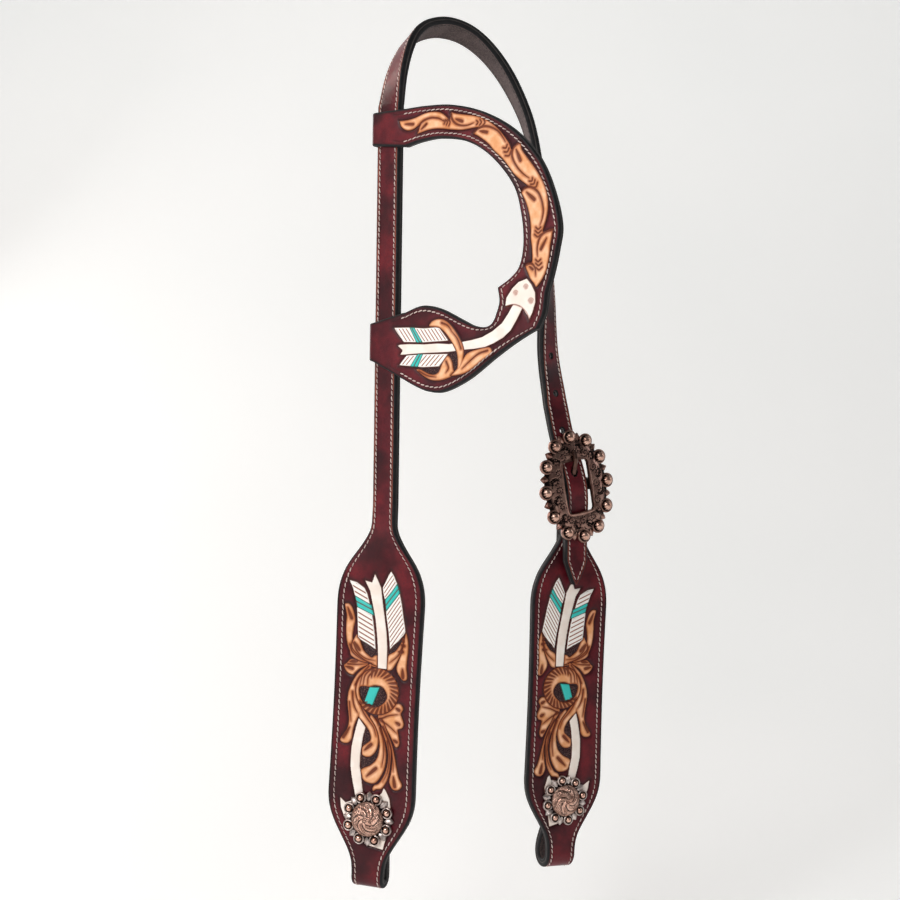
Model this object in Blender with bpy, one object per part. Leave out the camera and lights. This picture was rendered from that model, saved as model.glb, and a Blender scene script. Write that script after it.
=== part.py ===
"""Western one-ear headstall: a doubled strap that is left cheek, crown and billet in one,
a short right cheek hung on a cart buckle, a sliding ear piece and two screw-on conchos.
Metres, +Z up. The origin is at the middle of the crown's underside, where the head or a
hook carries it. +X runs from the left cheek towards the right one, and -Y is the front."""

import math

import bmesh
import bpy
from mathutils import Vector

# Doubled leather
STRAP_WIDTH = 0.0160
FACE_PLY = 0.0026
LINING_PLY = 0.0023
PLY_GAP = 0.0003
FIT_GAP = 0.0003
EDGE_BEVEL = 0.0006
CUT_OVERRUN = 0.003

# How the straps hang: distances from the crown's underside, and turns in degrees
LEFT_REACH = 0.0293
RIGHT_REACH = 0.079
FRONT_REACH = 0.048
REAR_REACH = 0.0523
STRAIGHT_TOP_DROP = 0.056
STRAIGHT_END_DROP = 0.283
LEFT_SHOULDER_DROP = 0.297
BAR_DROP = 0.2743
LEFT_STRAP_TURN = -37
LEFT_CHEEK_TURN = -20.5
BUCKLE_TURN = 28
RIGHT_CHEEK_TURN = 25
STRAP_LEAN = 1.0
LEFT_CHEEK_LEAN = 3.0
RIGHT_CHEEK_LEAN = 2.3
BUCKLE_LEAN = -10

# Cheek panels and bit ends
PANEL_WIDTH = 0.0534
PANEL_WAIST = 0.0520
SHOULDER_LENGTH = 0.041
PANEL_LENGTH = 0.113
TAPER_LENGTH = 0.041
TAB_WIDTH = 0.0193
TWIST_ABOVE = 0.014
TWIST_BELOW = 0.028
CONCHO_PAST_PANEL = 0.0115
LEFT_LOOP_GAP = 0.0024
RIGHT_LOOP_GAP = 0.0083
TAB_LENGTH = 0.0045
BIT_LOOP_CLOSE = 0.024
TAIL_PAST_CONCHO = 0.014

# Billet, and the fold of the right cheek round the buckle bar
HOLE_RADIUS = 0.0019
HOLE_PITCH = 0.0243
HOLE_COUNT = 3
FIRST_HOLE = 0.011
BILLET_TAIL = 0.061
BILLET_POINT = 0.015
POINT_WIDTH = 0.0028
NECK_BACK = 0.0026
NECK_SHIFT = 0.0024
NECK_DROP = 0.032
FOLD_CLOSE = 0.014
FOLD_TAIL = 0.048
FOLD_SCREW_DROP = 0.039
FOLD_SLOT_DROP = 0.0075
NECK_LINING_DROP = 0.016
SLOT_FIT = 0.0007

# Ear piece
EAR_FACE_PLY = 0.0024
EAR_LINING_PLY = 0.0021
EAR_REACH = 0.117
EAR_HEIGHT = 0.160
EAR_TOP_DROP = 0.0590
EAR_FIT = 0.0004
LOOP_CORNER = 0.0008
LOOP_FLAP = 0.024
LOOP_CLOSE = 0.0065

# Conchos and the screws
CONCHO_STUDS = 8
LEFT_CONCHO_TURN = 22.5
RIGHT_CONCHO_TURN = 12
CONCHO_RING = 0.0126
CONCHO_DOME = 0.0103
CONCHO_RISE = 0.0042
CONCHO_RIM = 0.0021
CONCHO_CUP = 0.0033
CONCHO_BERRY = 0.0021
BOSS_RADIUS = 0.0030
BOSS_BORE = 0.0019
BOSS_SHORT = 0.0005
SCREW_RADIUS = 0.0015
SCREW_BITE = 0.0060
SCREW_HEAD_RADIUS = 0.0052
SCREW_HEAD = 0.0013
POST_HEAD_RADIUS = 0.0055
POST_HEAD = 0.0012
DRIVE_SLOT = 0.0010
DRIVE_SLOT_DEPTH = 0.0006

# Cart buckle
BUCKLE_RING_WIDTH = 0.0449
BUCKLE_RING_HEIGHT = 0.0626
WINDOW_WIDTH = 0.0186
WINDOW_HEIGHT = 0.0320
BUCKLE_PLATE = 0.0024
RIM_CLEAR = 0.0004
WINDOW_LIFT = 0.0016
BUCKLE_STUDS = 12
BUCKLE_CUP = 0.0043
BUCKLE_BERRY = 0.0030
BAR_RADIUS = 0.00175
BAR_SEAT = 0.0028
LUG_THICK = 0.0036
LUG_RADIUS = 0.0036
TONGUE_WIDTH = 0.0032
TONGUE_TIP_WIDTH = 0.0022
TONGUE_THICK = 0.0018
TONGUE_RISE = 31
TONGUE_TIP = 0.0225
TONGUE_CURL = 285
TONGUE_HOLE_PLAY = 0.0009

HALF_GAP = PLY_GAP / 2
FACE_TOP = HALF_GAP + FACE_PLY
LINING_BACK = HALF_GAP + LINING_PLY
HALF_STRAP = STRAP_WIDTH / 2
TAIL_BACK = 2 * LINING_BACK + FIT_GAP
CONCHO_DROP = SHOULDER_LENGTH + PANEL_LENGTH + CONCHO_PAST_PANEL
HEAD_WIDTH = LEFT_REACH + RIGHT_REACH
HEAD_DEPTH = FRONT_REACH + REAR_REACH
BILLET_LOW = FACE_TOP - NECK_BACK + FIT_GAP + POST_HEAD + FIT_GAP + LINING_BACK
BILLET_CREST = BAR_RADIUS + FIT_GAP + FACE_PLY + FIT_GAP + LINING_BACK
RIM_BACK = BILLET_LOW + FACE_TOP + RIM_CLEAR
WINDOW_BACK = RIM_BACK + WINDOW_LIFT
TONGUE_CENTRE = BAR_RADIUS + FIT_GAP + TONGUE_THICK / 2

# Crown knots: shares of the head's width, its depth and the bar's drop, then the direction
# of the strap's width in plan and how far its far edge dips, in degrees
CROWN_SHARES = (
    (0.026, 0.055, 0.136, 131, 7),
    (0.064, 0.135, 0.080, 127, 20),
    (0.112, 0.245, 0.038, 127, 28),
    (0.180, 0.370, 0.0095, 131, 29),
    (0.281, 0.495, -0.006, 134, 24),
    (0.400, 0.605, 0.000, 130, 14),
    (0.515, 0.700, 0.028, 124, 3),
    (0.622, 0.775, 0.076, 117, -4),
    (0.714, 0.835, 0.140, 109, -7),
    (0.773, 0.875, 0.203, 102, -7),
    (0.820, 0.915, 0.292, 94, -6),
    (0.855, 0.940, 0.403, 83, -4.5),
    (0.869, 0.955, 0.551, 65, -3),
    (0.874, 0.965, 0.688, 47, -4),
)

# Billet knots at the buckle: height and sideways shift as shares of the ring's height and
# the strap's width, then the share of the way from its low level up to its crest, then how
# far it is turned from the buckle, in degrees
BILLET_SHARES = (
    (0.93, -0.02, -1.90, 6),
    (0.75, -0.13, -0.75, 2),
    (0.54, -0.16, -0.05, 0),
    (0.34, -0.07, 0.12, 0),
    (0.16, 0.00, 0.62, 0),
    (0.00, 0.00, 1.0, 0),
    (-0.16, -0.02, 0.62, 0),
    (-0.34, -0.12, 0.12, 0),
    (-0.54, -0.26, 0.0, 0),
    (-0.76, -0.42, 0.0, 0),
)
BILLET_END_SHIFT_SHARE = -0.59

# Cheek outline: share of the stretch's length, share of the way to the wider half-width
SHOULDER_SHARES = (
    (0.0, 0.0), (0.17, 0.20), (0.33, 0.44), (0.5, 0.70), (0.67, 0.87), (0.83, 0.965), (1.0, 1.0)
)
TAPER_SHARES = (
    (0.0, 1.0), (0.17, 0.94), (0.33, 0.79), (0.5, 0.55), (0.67, 0.29), (0.83, 0.08), (1.0, 0.0)
)

# Ear piece outline from the upper loop round to the lower one: outer and inner edge points,
# as shares of the reach to the right of the strap's middle and of the ear piece's height
UPPER_EAR_SHARES = (
    ((0.125, 0.999), (0.130, 0.864)),
    ((0.250, 1.000), (0.215, 0.876)),
    ((0.405, 0.991), (0.335, 0.880)),
    ((0.583, 0.954), (0.496, 0.857)),
    ((0.757, 0.883), (0.638, 0.794)),
    ((0.895, 0.784), (0.760, 0.693)),
    ((0.975, 0.673), (0.806, 0.594)),
    ((1.020, 0.553), (0.820, 0.499)),
    ((1.006, 0.468), (0.801, 0.424)),
    ((0.980, 0.388), (0.755, 0.386)),
    ((0.954, 0.330), (0.680, 0.353)),
)
MIDDLE_EAR_SHARES = (
    ((0.954, 0.330), (0.680, 0.353)),
    ((0.942, 0.262), (0.690, 0.304)),
    ((0.909, 0.211), (0.665, 0.249)),
)
LOWER_EAR_SHARES = (
    ((0.909, 0.211), (0.665, 0.249)),
    ((0.862, 0.197), (0.643, 0.230)),
    ((0.775, 0.164), (0.606, 0.222)),
    ((0.662, 0.114), (0.540, 0.229)),
    ((0.521, 0.046), (0.468, 0.252)),
    ((0.380, 0.003), (0.362, 0.287)),
    ((0.285, 0.003), (0.277, 0.303)),
    ((0.207, 0.021), (0.215, 0.301)),
    ((0.125, 0.048), (0.135, 0.282)),
)
# Heights of a loop's outer and inner edges as shares of the ear piece's height: where it
# leaves the arm, at the strap's far edge, and on the flap behind the arm
UPPER_LOOP_SHARES = ((0.999, 0.864), (0.999, 0.880), (0.985, 0.888))
LOWER_LOOP_SHARES = ((0.048, 0.282), (0.114, 0.249), (0.060, 0.270))


def clear_scene():
    for obj in list(bpy.data.objects):
        bpy.data.objects.remove(obj)


def material(name, colour, roughness, metallic):
    made = bpy.data.materials.new(name)
    made.use_nodes = True
    shader = made.node_tree.nodes["Principled BSDF"]
    shader.inputs["Base Color"].default_value = (*colour, 1)
    shader.inputs["Roughness"].default_value = roughness
    shader.inputs["Metallic"].default_value = metallic
    return made


def face_leather():
    return material("burgundy_leather", (0.105, 0.016, 0.021), 0.38, 0)


def lining_leather():
    return material("lining_leather", (0.145, 0.105, 0.098), 0.75, 0)


def antique_copper():
    return material("antique_copper", (0.37, 0.17, 0.11), 0.32, 1)


def plated_steel():
    return material("plated_steel", (0.30, 0.20, 0.17), 0.35, 1)


def catmull_rom(knots, steps):
    """Points on one smooth curve through knots, which are tuples of numbers."""
    rows = [tuple(2 * a - b for a, b in zip(knots[0], knots[1]))]
    rows += [tuple(knot) for knot in knots]
    rows.append(tuple(2 * a - b for a, b in zip(knots[-1], knots[-2])))
    found = []
    for i in range(1, len(rows) - 2):
        before, here, there, after = rows[i - 1 : i + 3]
        for k in range(steps):
            t = k / steps
            point = []
            for a, b, c, d in zip(before, here, there, after):
                turn = (2 * a - 5 * b + 4 * c - d) * t**2
                end = (3 * b - a - 3 * c + d) * t**3
                point.append((2 * b + (c - a) * t + turn + end) / 2)
            found.append(tuple(point))
    found.append(rows[-2])
    return found


def in_table(shares, share):
    """The second value of a table of pairs at a given first value."""
    for (a, low), (b, high) in zip(shares, shares[1:]):
        if share <= b:
            return low + (high - low) * (share - a) / (b - a)
    return shares[-1][1]


def ease(share):
    """0 to 1 with a level start and end."""
    return (1 - math.cos(math.pi * min(max(share, 0), 1))) / 2


def width_direction(turn, dip):
    turn, dip = math.radians(turn), math.radians(dip)
    level = math.cos(dip)
    return Vector((math.cos(turn) * level, math.sin(turn) * level, -math.sin(dip)))


class Place:
    """A spot on the headstall with its own right, up and out directions."""

    def __init__(self, at, right, up):
        self.at = at
        self.right = right
        self.up = up
        self.out = right.cross(up)

    def point(self, right, up, out):
        return self.at + self.right * right + self.up * up + self.out * out

    def moved(self, right, up, out):
        return Place(self.point(right, up, out), self.right, self.up)


def hanging_place(at, turn, lean):
    """A place on a strap that hangs: turned about the upright, then leant in its own plane."""
    level = width_direction(turn, 0)
    upright = Vector((0, 0, 1))
    lean = math.radians(lean)
    up = upright * math.cos(lean) + level * math.sin(lean)
    right = level * math.cos(lean) - upright * math.sin(lean)
    return Place(at, right, up)


def left_strap_place():
    """The top of the left strap's straight stretch."""
    at = Vector((-LEFT_REACH, -FRONT_REACH, -STRAIGHT_TOP_DROP))
    return hanging_place(at, LEFT_STRAP_TURN, STRAP_LEAN)


def left_cheek_place():
    """The top of the left cheek's shoulder, at the seam between the plies."""
    end = left_strap_place().point(0, STRAIGHT_TOP_DROP - STRAIGHT_END_DROP, 0)
    cheek = hanging_place(end, LEFT_CHEEK_TURN, LEFT_CHEEK_LEAN)
    return cheek.moved(0, STRAIGHT_END_DROP - LEFT_SHOULDER_DROP, 0)


def buckle_place():
    """The middle of the buckle bar."""
    return hanging_place(Vector((RIGHT_REACH, REAR_REACH, -BAR_DROP)), BUCKLE_TURN, BUCKLE_LEAN)


def right_cheek_place():
    """The top of the right cheek's shoulder, at the seam between the plies."""
    at = buckle_place().point(-NECK_SHIFT, -NECK_DROP, -NECK_BACK)
    return hanging_place(at, RIGHT_CHEEK_TURN, RIGHT_CHEEK_LEAN)


def ear_place():
    """The lowest level of the ear piece on the strap's middle line, at the ear piece's seam."""
    drop = EAR_TOP_DROP + EAR_HEIGHT - STRAIGHT_TOP_DROP
    return left_strap_place().moved(0, -drop, FACE_TOP + EAR_FIT - HALF_GAP)


def mesh_object(name, points, faces, made_of):
    mesh = bpy.data.meshes.new(name)
    mesh.from_pydata([tuple(point) for point in points], [], faces)
    work = bmesh.new()
    work.from_mesh(mesh)
    bmesh.ops.recalc_face_normals(work, faces=work.faces)
    work.to_mesh(mesh)
    work.free()
    mesh.shade_smooth()
    mesh.set_sharp_from_angle(angle=math.radians(35))
    made = bpy.data.objects.new(name, mesh)
    bpy.context.scene.collection.objects.link(made)
    if made_of is not None:
        mesh.materials.append(made_of)
    return made


def guide(made):
    made.hide_render = True
    made.display_type = "WIRE"
    return made


def boolean(target, tool, operation):
    modifier = target.modifiers.new(tool.name, "BOOLEAN")
    modifier.operation = operation
    modifier.solver = "EXACT"
    modifier.object = tool


def loft(name, sections, made_of, ring=False):
    """A closed solid through sections of equal point counts; a ring has no ends."""
    count = len(sections[0])
    points = [point for section in sections for point in section]
    faces = []
    spans = len(sections) if ring else len(sections) - 1
    for i in range(spans):
        here = i * count
        there = (i + 1) % len(sections) * count
        for k in range(count):
            after = (k + 1) % count
            faces.append((here + k, here + after, there + after, there + k))
    if not ring:
        faces.append(tuple(range(count)))
        faces.append(tuple(len(points) - count + k for k in range(count)))
    return mesh_object(name, points, faces, made_of)


def circle(radius, count):
    step = math.tau / count
    return [(radius * math.cos(k * step), radius * math.sin(k * step)) for k in range(count)]


def prism(name, place, outline, low, high):
    """A cutting tool with an outline of (right, up) points, between two heights."""
    sections = [[place.point(x, y, out) for x, y in outline] for out in (low, high)]
    return guide(loft(name, sections, None))


def turned(name, places, profile, count, made_of):
    """Solids turned round each place's outward axis from (radius, height) points, axis to axis."""
    points, faces = [], []
    rings = len(profile) - 2
    for place in places:
        base = len(points)
        points.append(place.point(0, 0, profile[0][1]))
        for radius, height in profile[1:-1]:
            points += [place.point(x, y, height) for x, y in circle(radius, count)]
        points.append(place.point(0, 0, profile[-1][1]))
        top = len(points) - 1
        for k in range(count):
            after = (k + 1) % count
            faces.append((base, base + 1 + after, base + 1 + k))
            for i in range(rings - 1):
                low = base + 1 + i * count
                faces.append((low + k, low + after, low + count + after, low + count + k))
            faces.append((top - count + k, top - count + after, top))
    return mesh_object(name, points, faces, made_of)


def strip_section(edge_a, edge_b, out, kept, worn):
    """Section of a ply: a flat side at one offset from the seam, a worn-cornered side at the other."""
    across = (edge_b - edge_a).normalized() * EDGE_BEVEL
    shoulder = worn - math.copysign(EDGE_BEVEL, worn - kept)
    return [
        edge_a + out * kept,
        edge_b + out * kept,
        edge_b + out * shoulder,
        edge_b - across + out * worn,
        edge_a + across + out * worn,
        edge_a + out * shoulder,
    ]


def ply(name, rows, kept, worn, made_of):
    sections = [strip_section(*row, kept, worn) for row in rows]
    return loft(name, sections, made_of)


def rows_along(stations):
    """Rows of (edge, edge, outward) from stations of (middle, across, half-width)."""
    rows = []
    for i, (middle, across, half) in enumerate(stations):
        along = Vector()
        if i > 0:
            along += (middle - stations[i - 1][0]).normalized()
        if i < len(stations) - 1:
            along += (stations[i + 1][0] - middle).normalized()
        along.normalize()
        flat = (across - along * across.dot(along)).normalized()
        rows.append((middle - flat * half, middle + flat * half, along.cross(flat)))
    return rows


def place_on(row):
    edge_a, edge_b, out = row
    right = (edge_b - edge_a).normalized()
    return Place((edge_a + edge_b) / 2, right, out.cross(right))


def cheek_half_width(drop):
    """Half-width at a distance below the shoulder's top."""
    half_panel = PANEL_WIDTH / 2
    if drop <= 0:
        return HALF_STRAP
    if drop <= SHOULDER_LENGTH:
        share = in_table(SHOULDER_SHARES, drop / SHOULDER_LENGTH)
        return HALF_STRAP + (half_panel - HALF_STRAP) * share
    if drop <= SHOULDER_LENGTH + PANEL_LENGTH:
        share = (drop - SHOULDER_LENGTH) / PANEL_LENGTH
        return half_panel - (PANEL_WIDTH - PANEL_WAIST) / 2 * math.sin(math.pi * share)
    share = in_table(TAPER_SHARES, (drop - SHOULDER_LENGTH - PANEL_LENGTH) / TAPER_LENGTH)
    return TAB_WIDTH / 2 + (half_panel - TAB_WIDTH / 2) * share


def cheek_drops():
    """Distances below the shoulder's top where the outline turns, down to the bit loop."""
    steps = 2 * (len(SHOULDER_SHARES) - 1)
    drops = [SHOULDER_LENGTH * k / steps for k in range(steps + 1)]
    drops += [SHOULDER_LENGTH + PANEL_LENGTH * share for share in (0.25, 0.5, 0.75)]
    start = SHOULDER_LENGTH + PANEL_LENGTH
    return drops + [start + TAPER_LENGTH * k / steps for k in range(steps + 1)]


def cheek_across(cheek, above, drop):
    """The width direction, which turns from the strap's to the panel's over the shoulder."""
    return above.lerp(cheek.right, ease((drop + TWIST_ABOVE) / (TWIST_ABOVE + TWIST_BELOW)))


def cheek_stations(cheek, above, loop_gap):
    """Stations down a cheek panel and round its bit loop to the end of the tail."""
    stations = []
    radius = loop_gap / 2 + LINING_BACK
    for drop in cheek_drops():
        across = cheek_across(cheek, above, drop)
        stations.append((cheek.point(0, -drop, 0), across, cheek_half_width(drop)))
    bottom = SHOULDER_LENGTH + PANEL_LENGTH + TAPER_LENGTH + TAB_LENGTH
    half = TAB_WIDTH / 2
    turns = 12
    for k in range(turns + 1):
        angle = math.pi * k / turns
        up = -bottom - radius * math.sin(angle)
        out = -radius * (1 - math.cos(angle))
        stations.append((cheek.point(0, up, out), cheek.right, half))
    closes = 6
    for k in range(1, closes + 1):
        share = k / closes
        out = -2 * radius + (2 * radius - TAIL_BACK) * ease(share)
        up = -bottom + BIT_LOOP_CLOSE * share
        stations.append((cheek.point(0, up, out), cheek.right, half))
    tail_end = cheek.point(0, TAIL_PAST_CONCHO - CONCHO_DROP, -TAIL_BACK)
    stations.append((tail_end, cheek.right, half))
    return stations


def long_strap_stations():
    """Stations from the left cheek's tail, up over the crown and down to the billet's point."""
    strap, cheek, buckle = left_strap_place(), left_cheek_place(), buckle_place()
    stations = []
    for middle, across, half in reversed(cheek_stations(cheek, strap.right, LEFT_LOOP_GAP)):
        stations.append((middle, -across, half))
    straight = STRAIGHT_END_DROP - STRAIGHT_TOP_DROP
    for share in (1, 0.66, 0.33):
        stations.append((strap.point(0, -straight * share, 0), -strap.right, HALF_STRAP))
    knots = [(*strap.at, *-strap.right)]
    for x, y, z, turn, dip in CROWN_SHARES:
        at = (HEAD_WIDTH * x - LEFT_REACH, HEAD_DEPTH * y - FRONT_REACH, -BAR_DROP * z)
        knots.append((*at, *width_direction(turn, dip)))
    for up, right, lift, turn in BILLET_SHARES:
        out = BILLET_LOW + (BILLET_CREST - BILLET_LOW) * lift
        at = buckle.point(STRAP_WIDTH * right, BUCKLE_RING_HEIGHT * up, out)
        knots.append((*at, *hanging_place(at, BUCKLE_TURN + turn, BUCKLE_LEAN).right))
    end = buckle.point(STRAP_WIDTH * BILLET_END_SHIFT_SHARE, -BILLET_TAIL, BILLET_LOW)
    knots.append((*end, *right_cheek_place().right))
    for row in catmull_rom(knots, 8):
        middle = Vector(row[:3])
        left = (middle - end).length
        half = POINT_WIDTH / 2 + (HALF_STRAP - POINT_WIDTH / 2) * min(left / BILLET_POINT, 1)
        stations.append((middle, Vector(row[3:]), half))
    return stations


def billet_places(rows):
    """Places of the punched holes above the buckle, a pitch apart along the strap."""
    bar = buckle_place()
    places = [place_on(row) for row in rows]
    last = min(range(len(places)), key=lambda i: (places[i].at - bar.point(0, 0, BILLET_CREST)).length)
    found = []
    gone = 0.0
    for i in range(last, 0, -1):
        step = (places[i].at - places[i - 1].at).length
        wanted = FIRST_HOLE + HOLE_PITCH * (len(found) + 1)
        if len(found) < HOLE_COUNT and gone + step >= wanted:
            share = (wanted - gone) / step
            at = places[i].at.lerp(places[i - 1].at, share)
            found.append(Place(at, places[i].right, places[i].up))
        gone += step
    return found


def tongue_line():
    """The straight of the tongue as a place: out runs along it, from where it leaves the bar."""
    buckle = buckle_place()
    rise = math.radians(TONGUE_RISE)
    along = buckle.up * math.cos(rise) + buckle.out * math.sin(rise)
    across = buckle.out * math.cos(rise) - buckle.up * math.sin(rise)
    return Place(buckle.at + across * TONGUE_CENTRE, across, buckle.right)


def long_strap(leather, lining):
    rows = rows_along(long_strap_stations())
    face = ply("long_strap_face", rows, HALF_GAP, FACE_TOP, leather)
    under = ply("long_strap_lining", rows, -HALF_GAP, -LINING_BACK, lining)
    tools = []
    reach = FACE_TOP + CUT_OVERRUN
    for i, place in enumerate(billet_places(rows)):
        tools.append(prism(f"billet_hole_tool_{i}", place, circle(HOLE_RADIUS, 12), -reach, reach))
    high = TONGUE_THICK / 2 + FIT_GAP
    wide = TONGUE_WIDTH / 2 + SLOT_FIT
    long = high + TONGUE_HOLE_PLAY
    outline = [(long * x, wide * y) for x, y in circle(1, 12)]
    crossing = BILLET_CREST + FACE_TOP
    far = 2 * crossing
    tools.append(prism("tongue_hole_tool", tongue_line(), outline, crossing / 12, far))
    tools.append(concho_hole_tool("left_concho_hole_tool", left_cheek_place()))
    for made in (face, under):
        for tool in tools:
            boolean(made, tool, "DIFFERENCE")


def concho_hole_tool(name, cheek):
    place = cheek.moved(0, -CONCHO_DROP, 0)
    depth = TAIL_BACK + FACE_TOP + CUT_OVERRUN
    return prism(name, place, circle(BOSS_RADIUS + FIT_GAP, 16), -depth, FACE_TOP + CUT_OVERRUN)


def neck_line():
    """(distance below the shoulder's top, middle) down the right cheek's neck, so negative."""
    buckle, cheek = buckle_place(), right_cheek_place()
    middle = buckle.point(-NECK_SHIFT / 3, -(FOLD_CLOSE + NECK_DROP) / 2, -NECK_BACK)
    knots = [
        (FOLD_CLOSE - NECK_DROP, *buckle.point(0, -FOLD_CLOSE, -NECK_BACK)),
        ((FOLD_CLOSE - NECK_DROP) / 2, *middle),
        (0, *cheek.at),
        (FOLD_TAIL - NECK_DROP, *cheek.point(0, NECK_DROP - FOLD_TAIL, 0)),
    ]
    return [(row[0], Vector(row[1:])) for row in catmull_rom(knots, 3) if row[0] < 0]


def fold_stations():
    """The turn of the right cheek's face ply round the bar, from its back to its front."""
    buckle = buckle_place()
    radius = BAR_RADIUS + FIT_GAP - HALF_GAP
    back = NECK_BACK + 2 * HALF_GAP + LINING_PLY
    stations = []
    closes = 6
    for k in range(closes):
        share = 1 - (k + 1) / (closes + 1)
        out = -radius - (back - radius) * ease(share)
        stations.append((buckle.point(0, -FOLD_CLOSE * share, out), buckle.right, HALF_STRAP))
    turns = 10
    for k in range(turns + 1):
        angle = math.pi * k / turns
        at = buckle.point(0, radius * math.sin(angle), -radius * math.cos(angle))
        stations.append((at, buckle.right, HALF_STRAP))
    for k in range(closes):
        share = (k + 1) / (closes + 1)
        out = radius - (NECK_BACK + radius) * ease(share)
        stations.append((buckle.point(0, -FOLD_CLOSE * share, out), buckle.right, HALF_STRAP))
    return stations


def right_cheek(leather, lining):
    cheek, buckle = right_cheek_place(), buckle_place()
    behind = PLY_GAP + LINING_PLY
    neck = []
    for drop, middle in neck_line():
        neck.append((middle, cheek_across(cheek, buckle.right, drop), HALF_STRAP))
    over_panel = []
    for share in (0, 0.25, 0.5, 0.75, 1):
        drop = (FOLD_TAIL - NECK_DROP) * share
        across = cheek_across(cheek, buckle.right, drop)
        over_panel.append((cheek.point(0, -drop, 0), across, HALF_STRAP))
    tail = []
    for middle, across, half in reversed(neck + over_panel):
        tail.append((middle - across.cross(cheek.up) * behind, across, half))
    down = cheek_stations(cheek, buckle.right, RIGHT_LOOP_GAP)
    face_rows = rows_along(tail + fold_stations() + neck + down)
    face = ply("right_cheek_face", face_rows, HALF_GAP, FACE_TOP, leather)
    lined = [row for row in neck if (row[0] - buckle.at).length > NECK_LINING_DROP]
    under = ply("right_cheek_lining", rows_along(lined + down), -HALF_GAP, -LINING_BACK, lining)
    wide = TONGUE_WIDTH / 2 + SLOT_FIT
    high = BAR_RADIUS + FACE_PLY + CUT_OVERRUN
    slot = [(-wide, -FOLD_SLOT_DROP), (wide, -FOLD_SLOT_DROP), (wide, high), (-wide, high)]
    deep = NECK_BACK + FACE_PLY + LINING_PLY + CUT_OVERRUN
    boolean(face, prism("fold_slot_tool", buckle, slot, -deep, deep), "DIFFERENCE")
    screw = cheek.moved(0, NECK_DROP - FOLD_SCREW_DROP, 0)
    hole = circle(BOSS_RADIUS + FIT_GAP, 16)
    screw_tool = prism("fold_screw_hole_tool", screw, hole, -deep - FACE_TOP, deep)
    concho_tool = concho_hole_tool("right_concho_hole_tool", cheek)
    for made in (face, under):
        boolean(made, screw_tool, "DIFFERENCE")
        boolean(made, concho_tool, "DIFFERENCE")


def loop_rows(shares):
    """Rows of one slip loop, from the arm across the strap's face, round its far edge and
    back behind it to the end of the flap that is sewn under the arm."""
    ear = ear_place()
    arm, far, flap_edges = shares
    side = HALF_STRAP + EAR_FIT - HALF_GAP
    behind = LINING_BACK + FACE_TOP + 2 * (EAR_FIT - HALF_GAP)
    flap = HALF_GAP + EAR_LINING_PLY + FIT_GAP - HALF_GAP
    start = EAR_REACH * UPPER_EAR_SHARES[0][0][0]
    path = [(HALF_STRAP * share, 0.0) for share in (1.0, 0.0, -0.8)]
    corner = LOOP_CORNER
    bends = 4
    for k in range(bends + 1):
        angle = math.pi / 2 * k / bends
        path.append((-side + corner - corner * math.sin(angle), -corner + corner * math.cos(angle)))
    for k in range(bends + 1):
        angle = math.pi / 2 * k / bends
        drop = behind - corner + corner * math.sin(angle)
        path.append((-side + corner - corner * math.cos(angle), -drop))
    path += [(HALF_STRAP * share, -behind) for share in (0.0, 1.0)]
    closes = 5
    for k in range(1, closes + 1):
        share = k / closes
        right = HALF_STRAP + EAR_FIT + LOOP_CLOSE * share
        path.append((right, -behind + (behind - flap) * ease(share)))
    path.append((LOOP_FLAP, -flap))
    rows = []
    for i, (right, out) in enumerate(path):
        before = path[max(i - 1, 0)]
        after = path[min(i + 1, len(path) - 1)]
        along = (ear.right * (after[0] - before[0]) + ear.out * (after[1] - before[1])).normalized()
        share = min(max((start - right) / (start + side), 0), 1)
        near = arm if out > -LOOP_CORNER else flap_edges
        outer = EAR_HEIGHT * (near[0] + (far[0] - near[0]) * share)
        inner = EAR_HEIGHT * (near[1] + (far[1] - near[1]) * share)
        outward = ear.up.cross(along)
        rows.append((ear.point(right, outer, out), ear.point(right, inner, out), outward))
    return rows


def arm_rows():
    """Rows of the ear piece's flat part, from the upper loop round to the lower one."""
    ear = ear_place()
    rows = []
    for table, steps in ((UPPER_EAR_SHARES, 3), (MIDDLE_EAR_SHARES, 2), (LOWER_EAR_SHARES, 3)):
        knots = [(*outer, *inner) for outer, inner in table]
        found = catmull_rom(knots, steps)
        if rows:
            found = found[1:]
        for a, b, c, d in found:
            outer = ear.point(EAR_REACH * a, EAR_HEIGHT * b, 0)
            inner = ear.point(EAR_REACH * c, EAR_HEIGHT * d, 0)
            rows.append((outer, inner, ear.out))
    return rows


def ear_piece(leather, lining):
    upper = list(reversed(loop_rows(UPPER_LOOP_SHARES)))
    flat = arm_rows()
    lower = loop_rows(LOWER_LOOP_SHARES)
    ply("ear_piece_face", upper + flat + lower, HALF_GAP, HALF_GAP + EAR_FACE_PLY, leather)
    ply("ear_piece_lining", flat, -HALF_GAP, -HALF_GAP - EAR_LINING_PLY, lining)


def dome_profile(radius, rise, base, steps):
    """(radius, height) points over a shallow dome, from its foot up to just short of its top."""
    ball = (radius**2 + rise**2) / (2 * rise)
    reach = math.asin(radius / ball)
    found = []
    for k in range(steps):
        angle = reach * (1 - k / steps)
        found.append((ball * math.sin(angle), base + rise - ball + ball * math.cos(angle)))
    return found


def stud_profile(cup, berry, height):
    """A cup with a ball in it."""
    profile = [(0, 0), (cup * 0.92, 0), (cup, height * 0.6), (cup * 0.82, height)]
    for k in range(3):
        angle = math.pi / 6 * k
        profile.append((berry * math.cos(angle), height + berry * math.sin(angle)))
    return profile + [(0, height + berry)]


def screw_slot(place, head_radius, depth):
    """A tool that cuts the driver slot into a screw's head."""
    wide, long = DRIVE_SLOT / 2, head_radius + CUT_OVERRUN
    outline = [(-long, -wide), (long, -wide), (long, wide), (-long, wide)]
    return prism(f"drive_slot_tool_{len(bpy.data.objects)}", place, outline, depth, CUT_OVERRUN)


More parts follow.
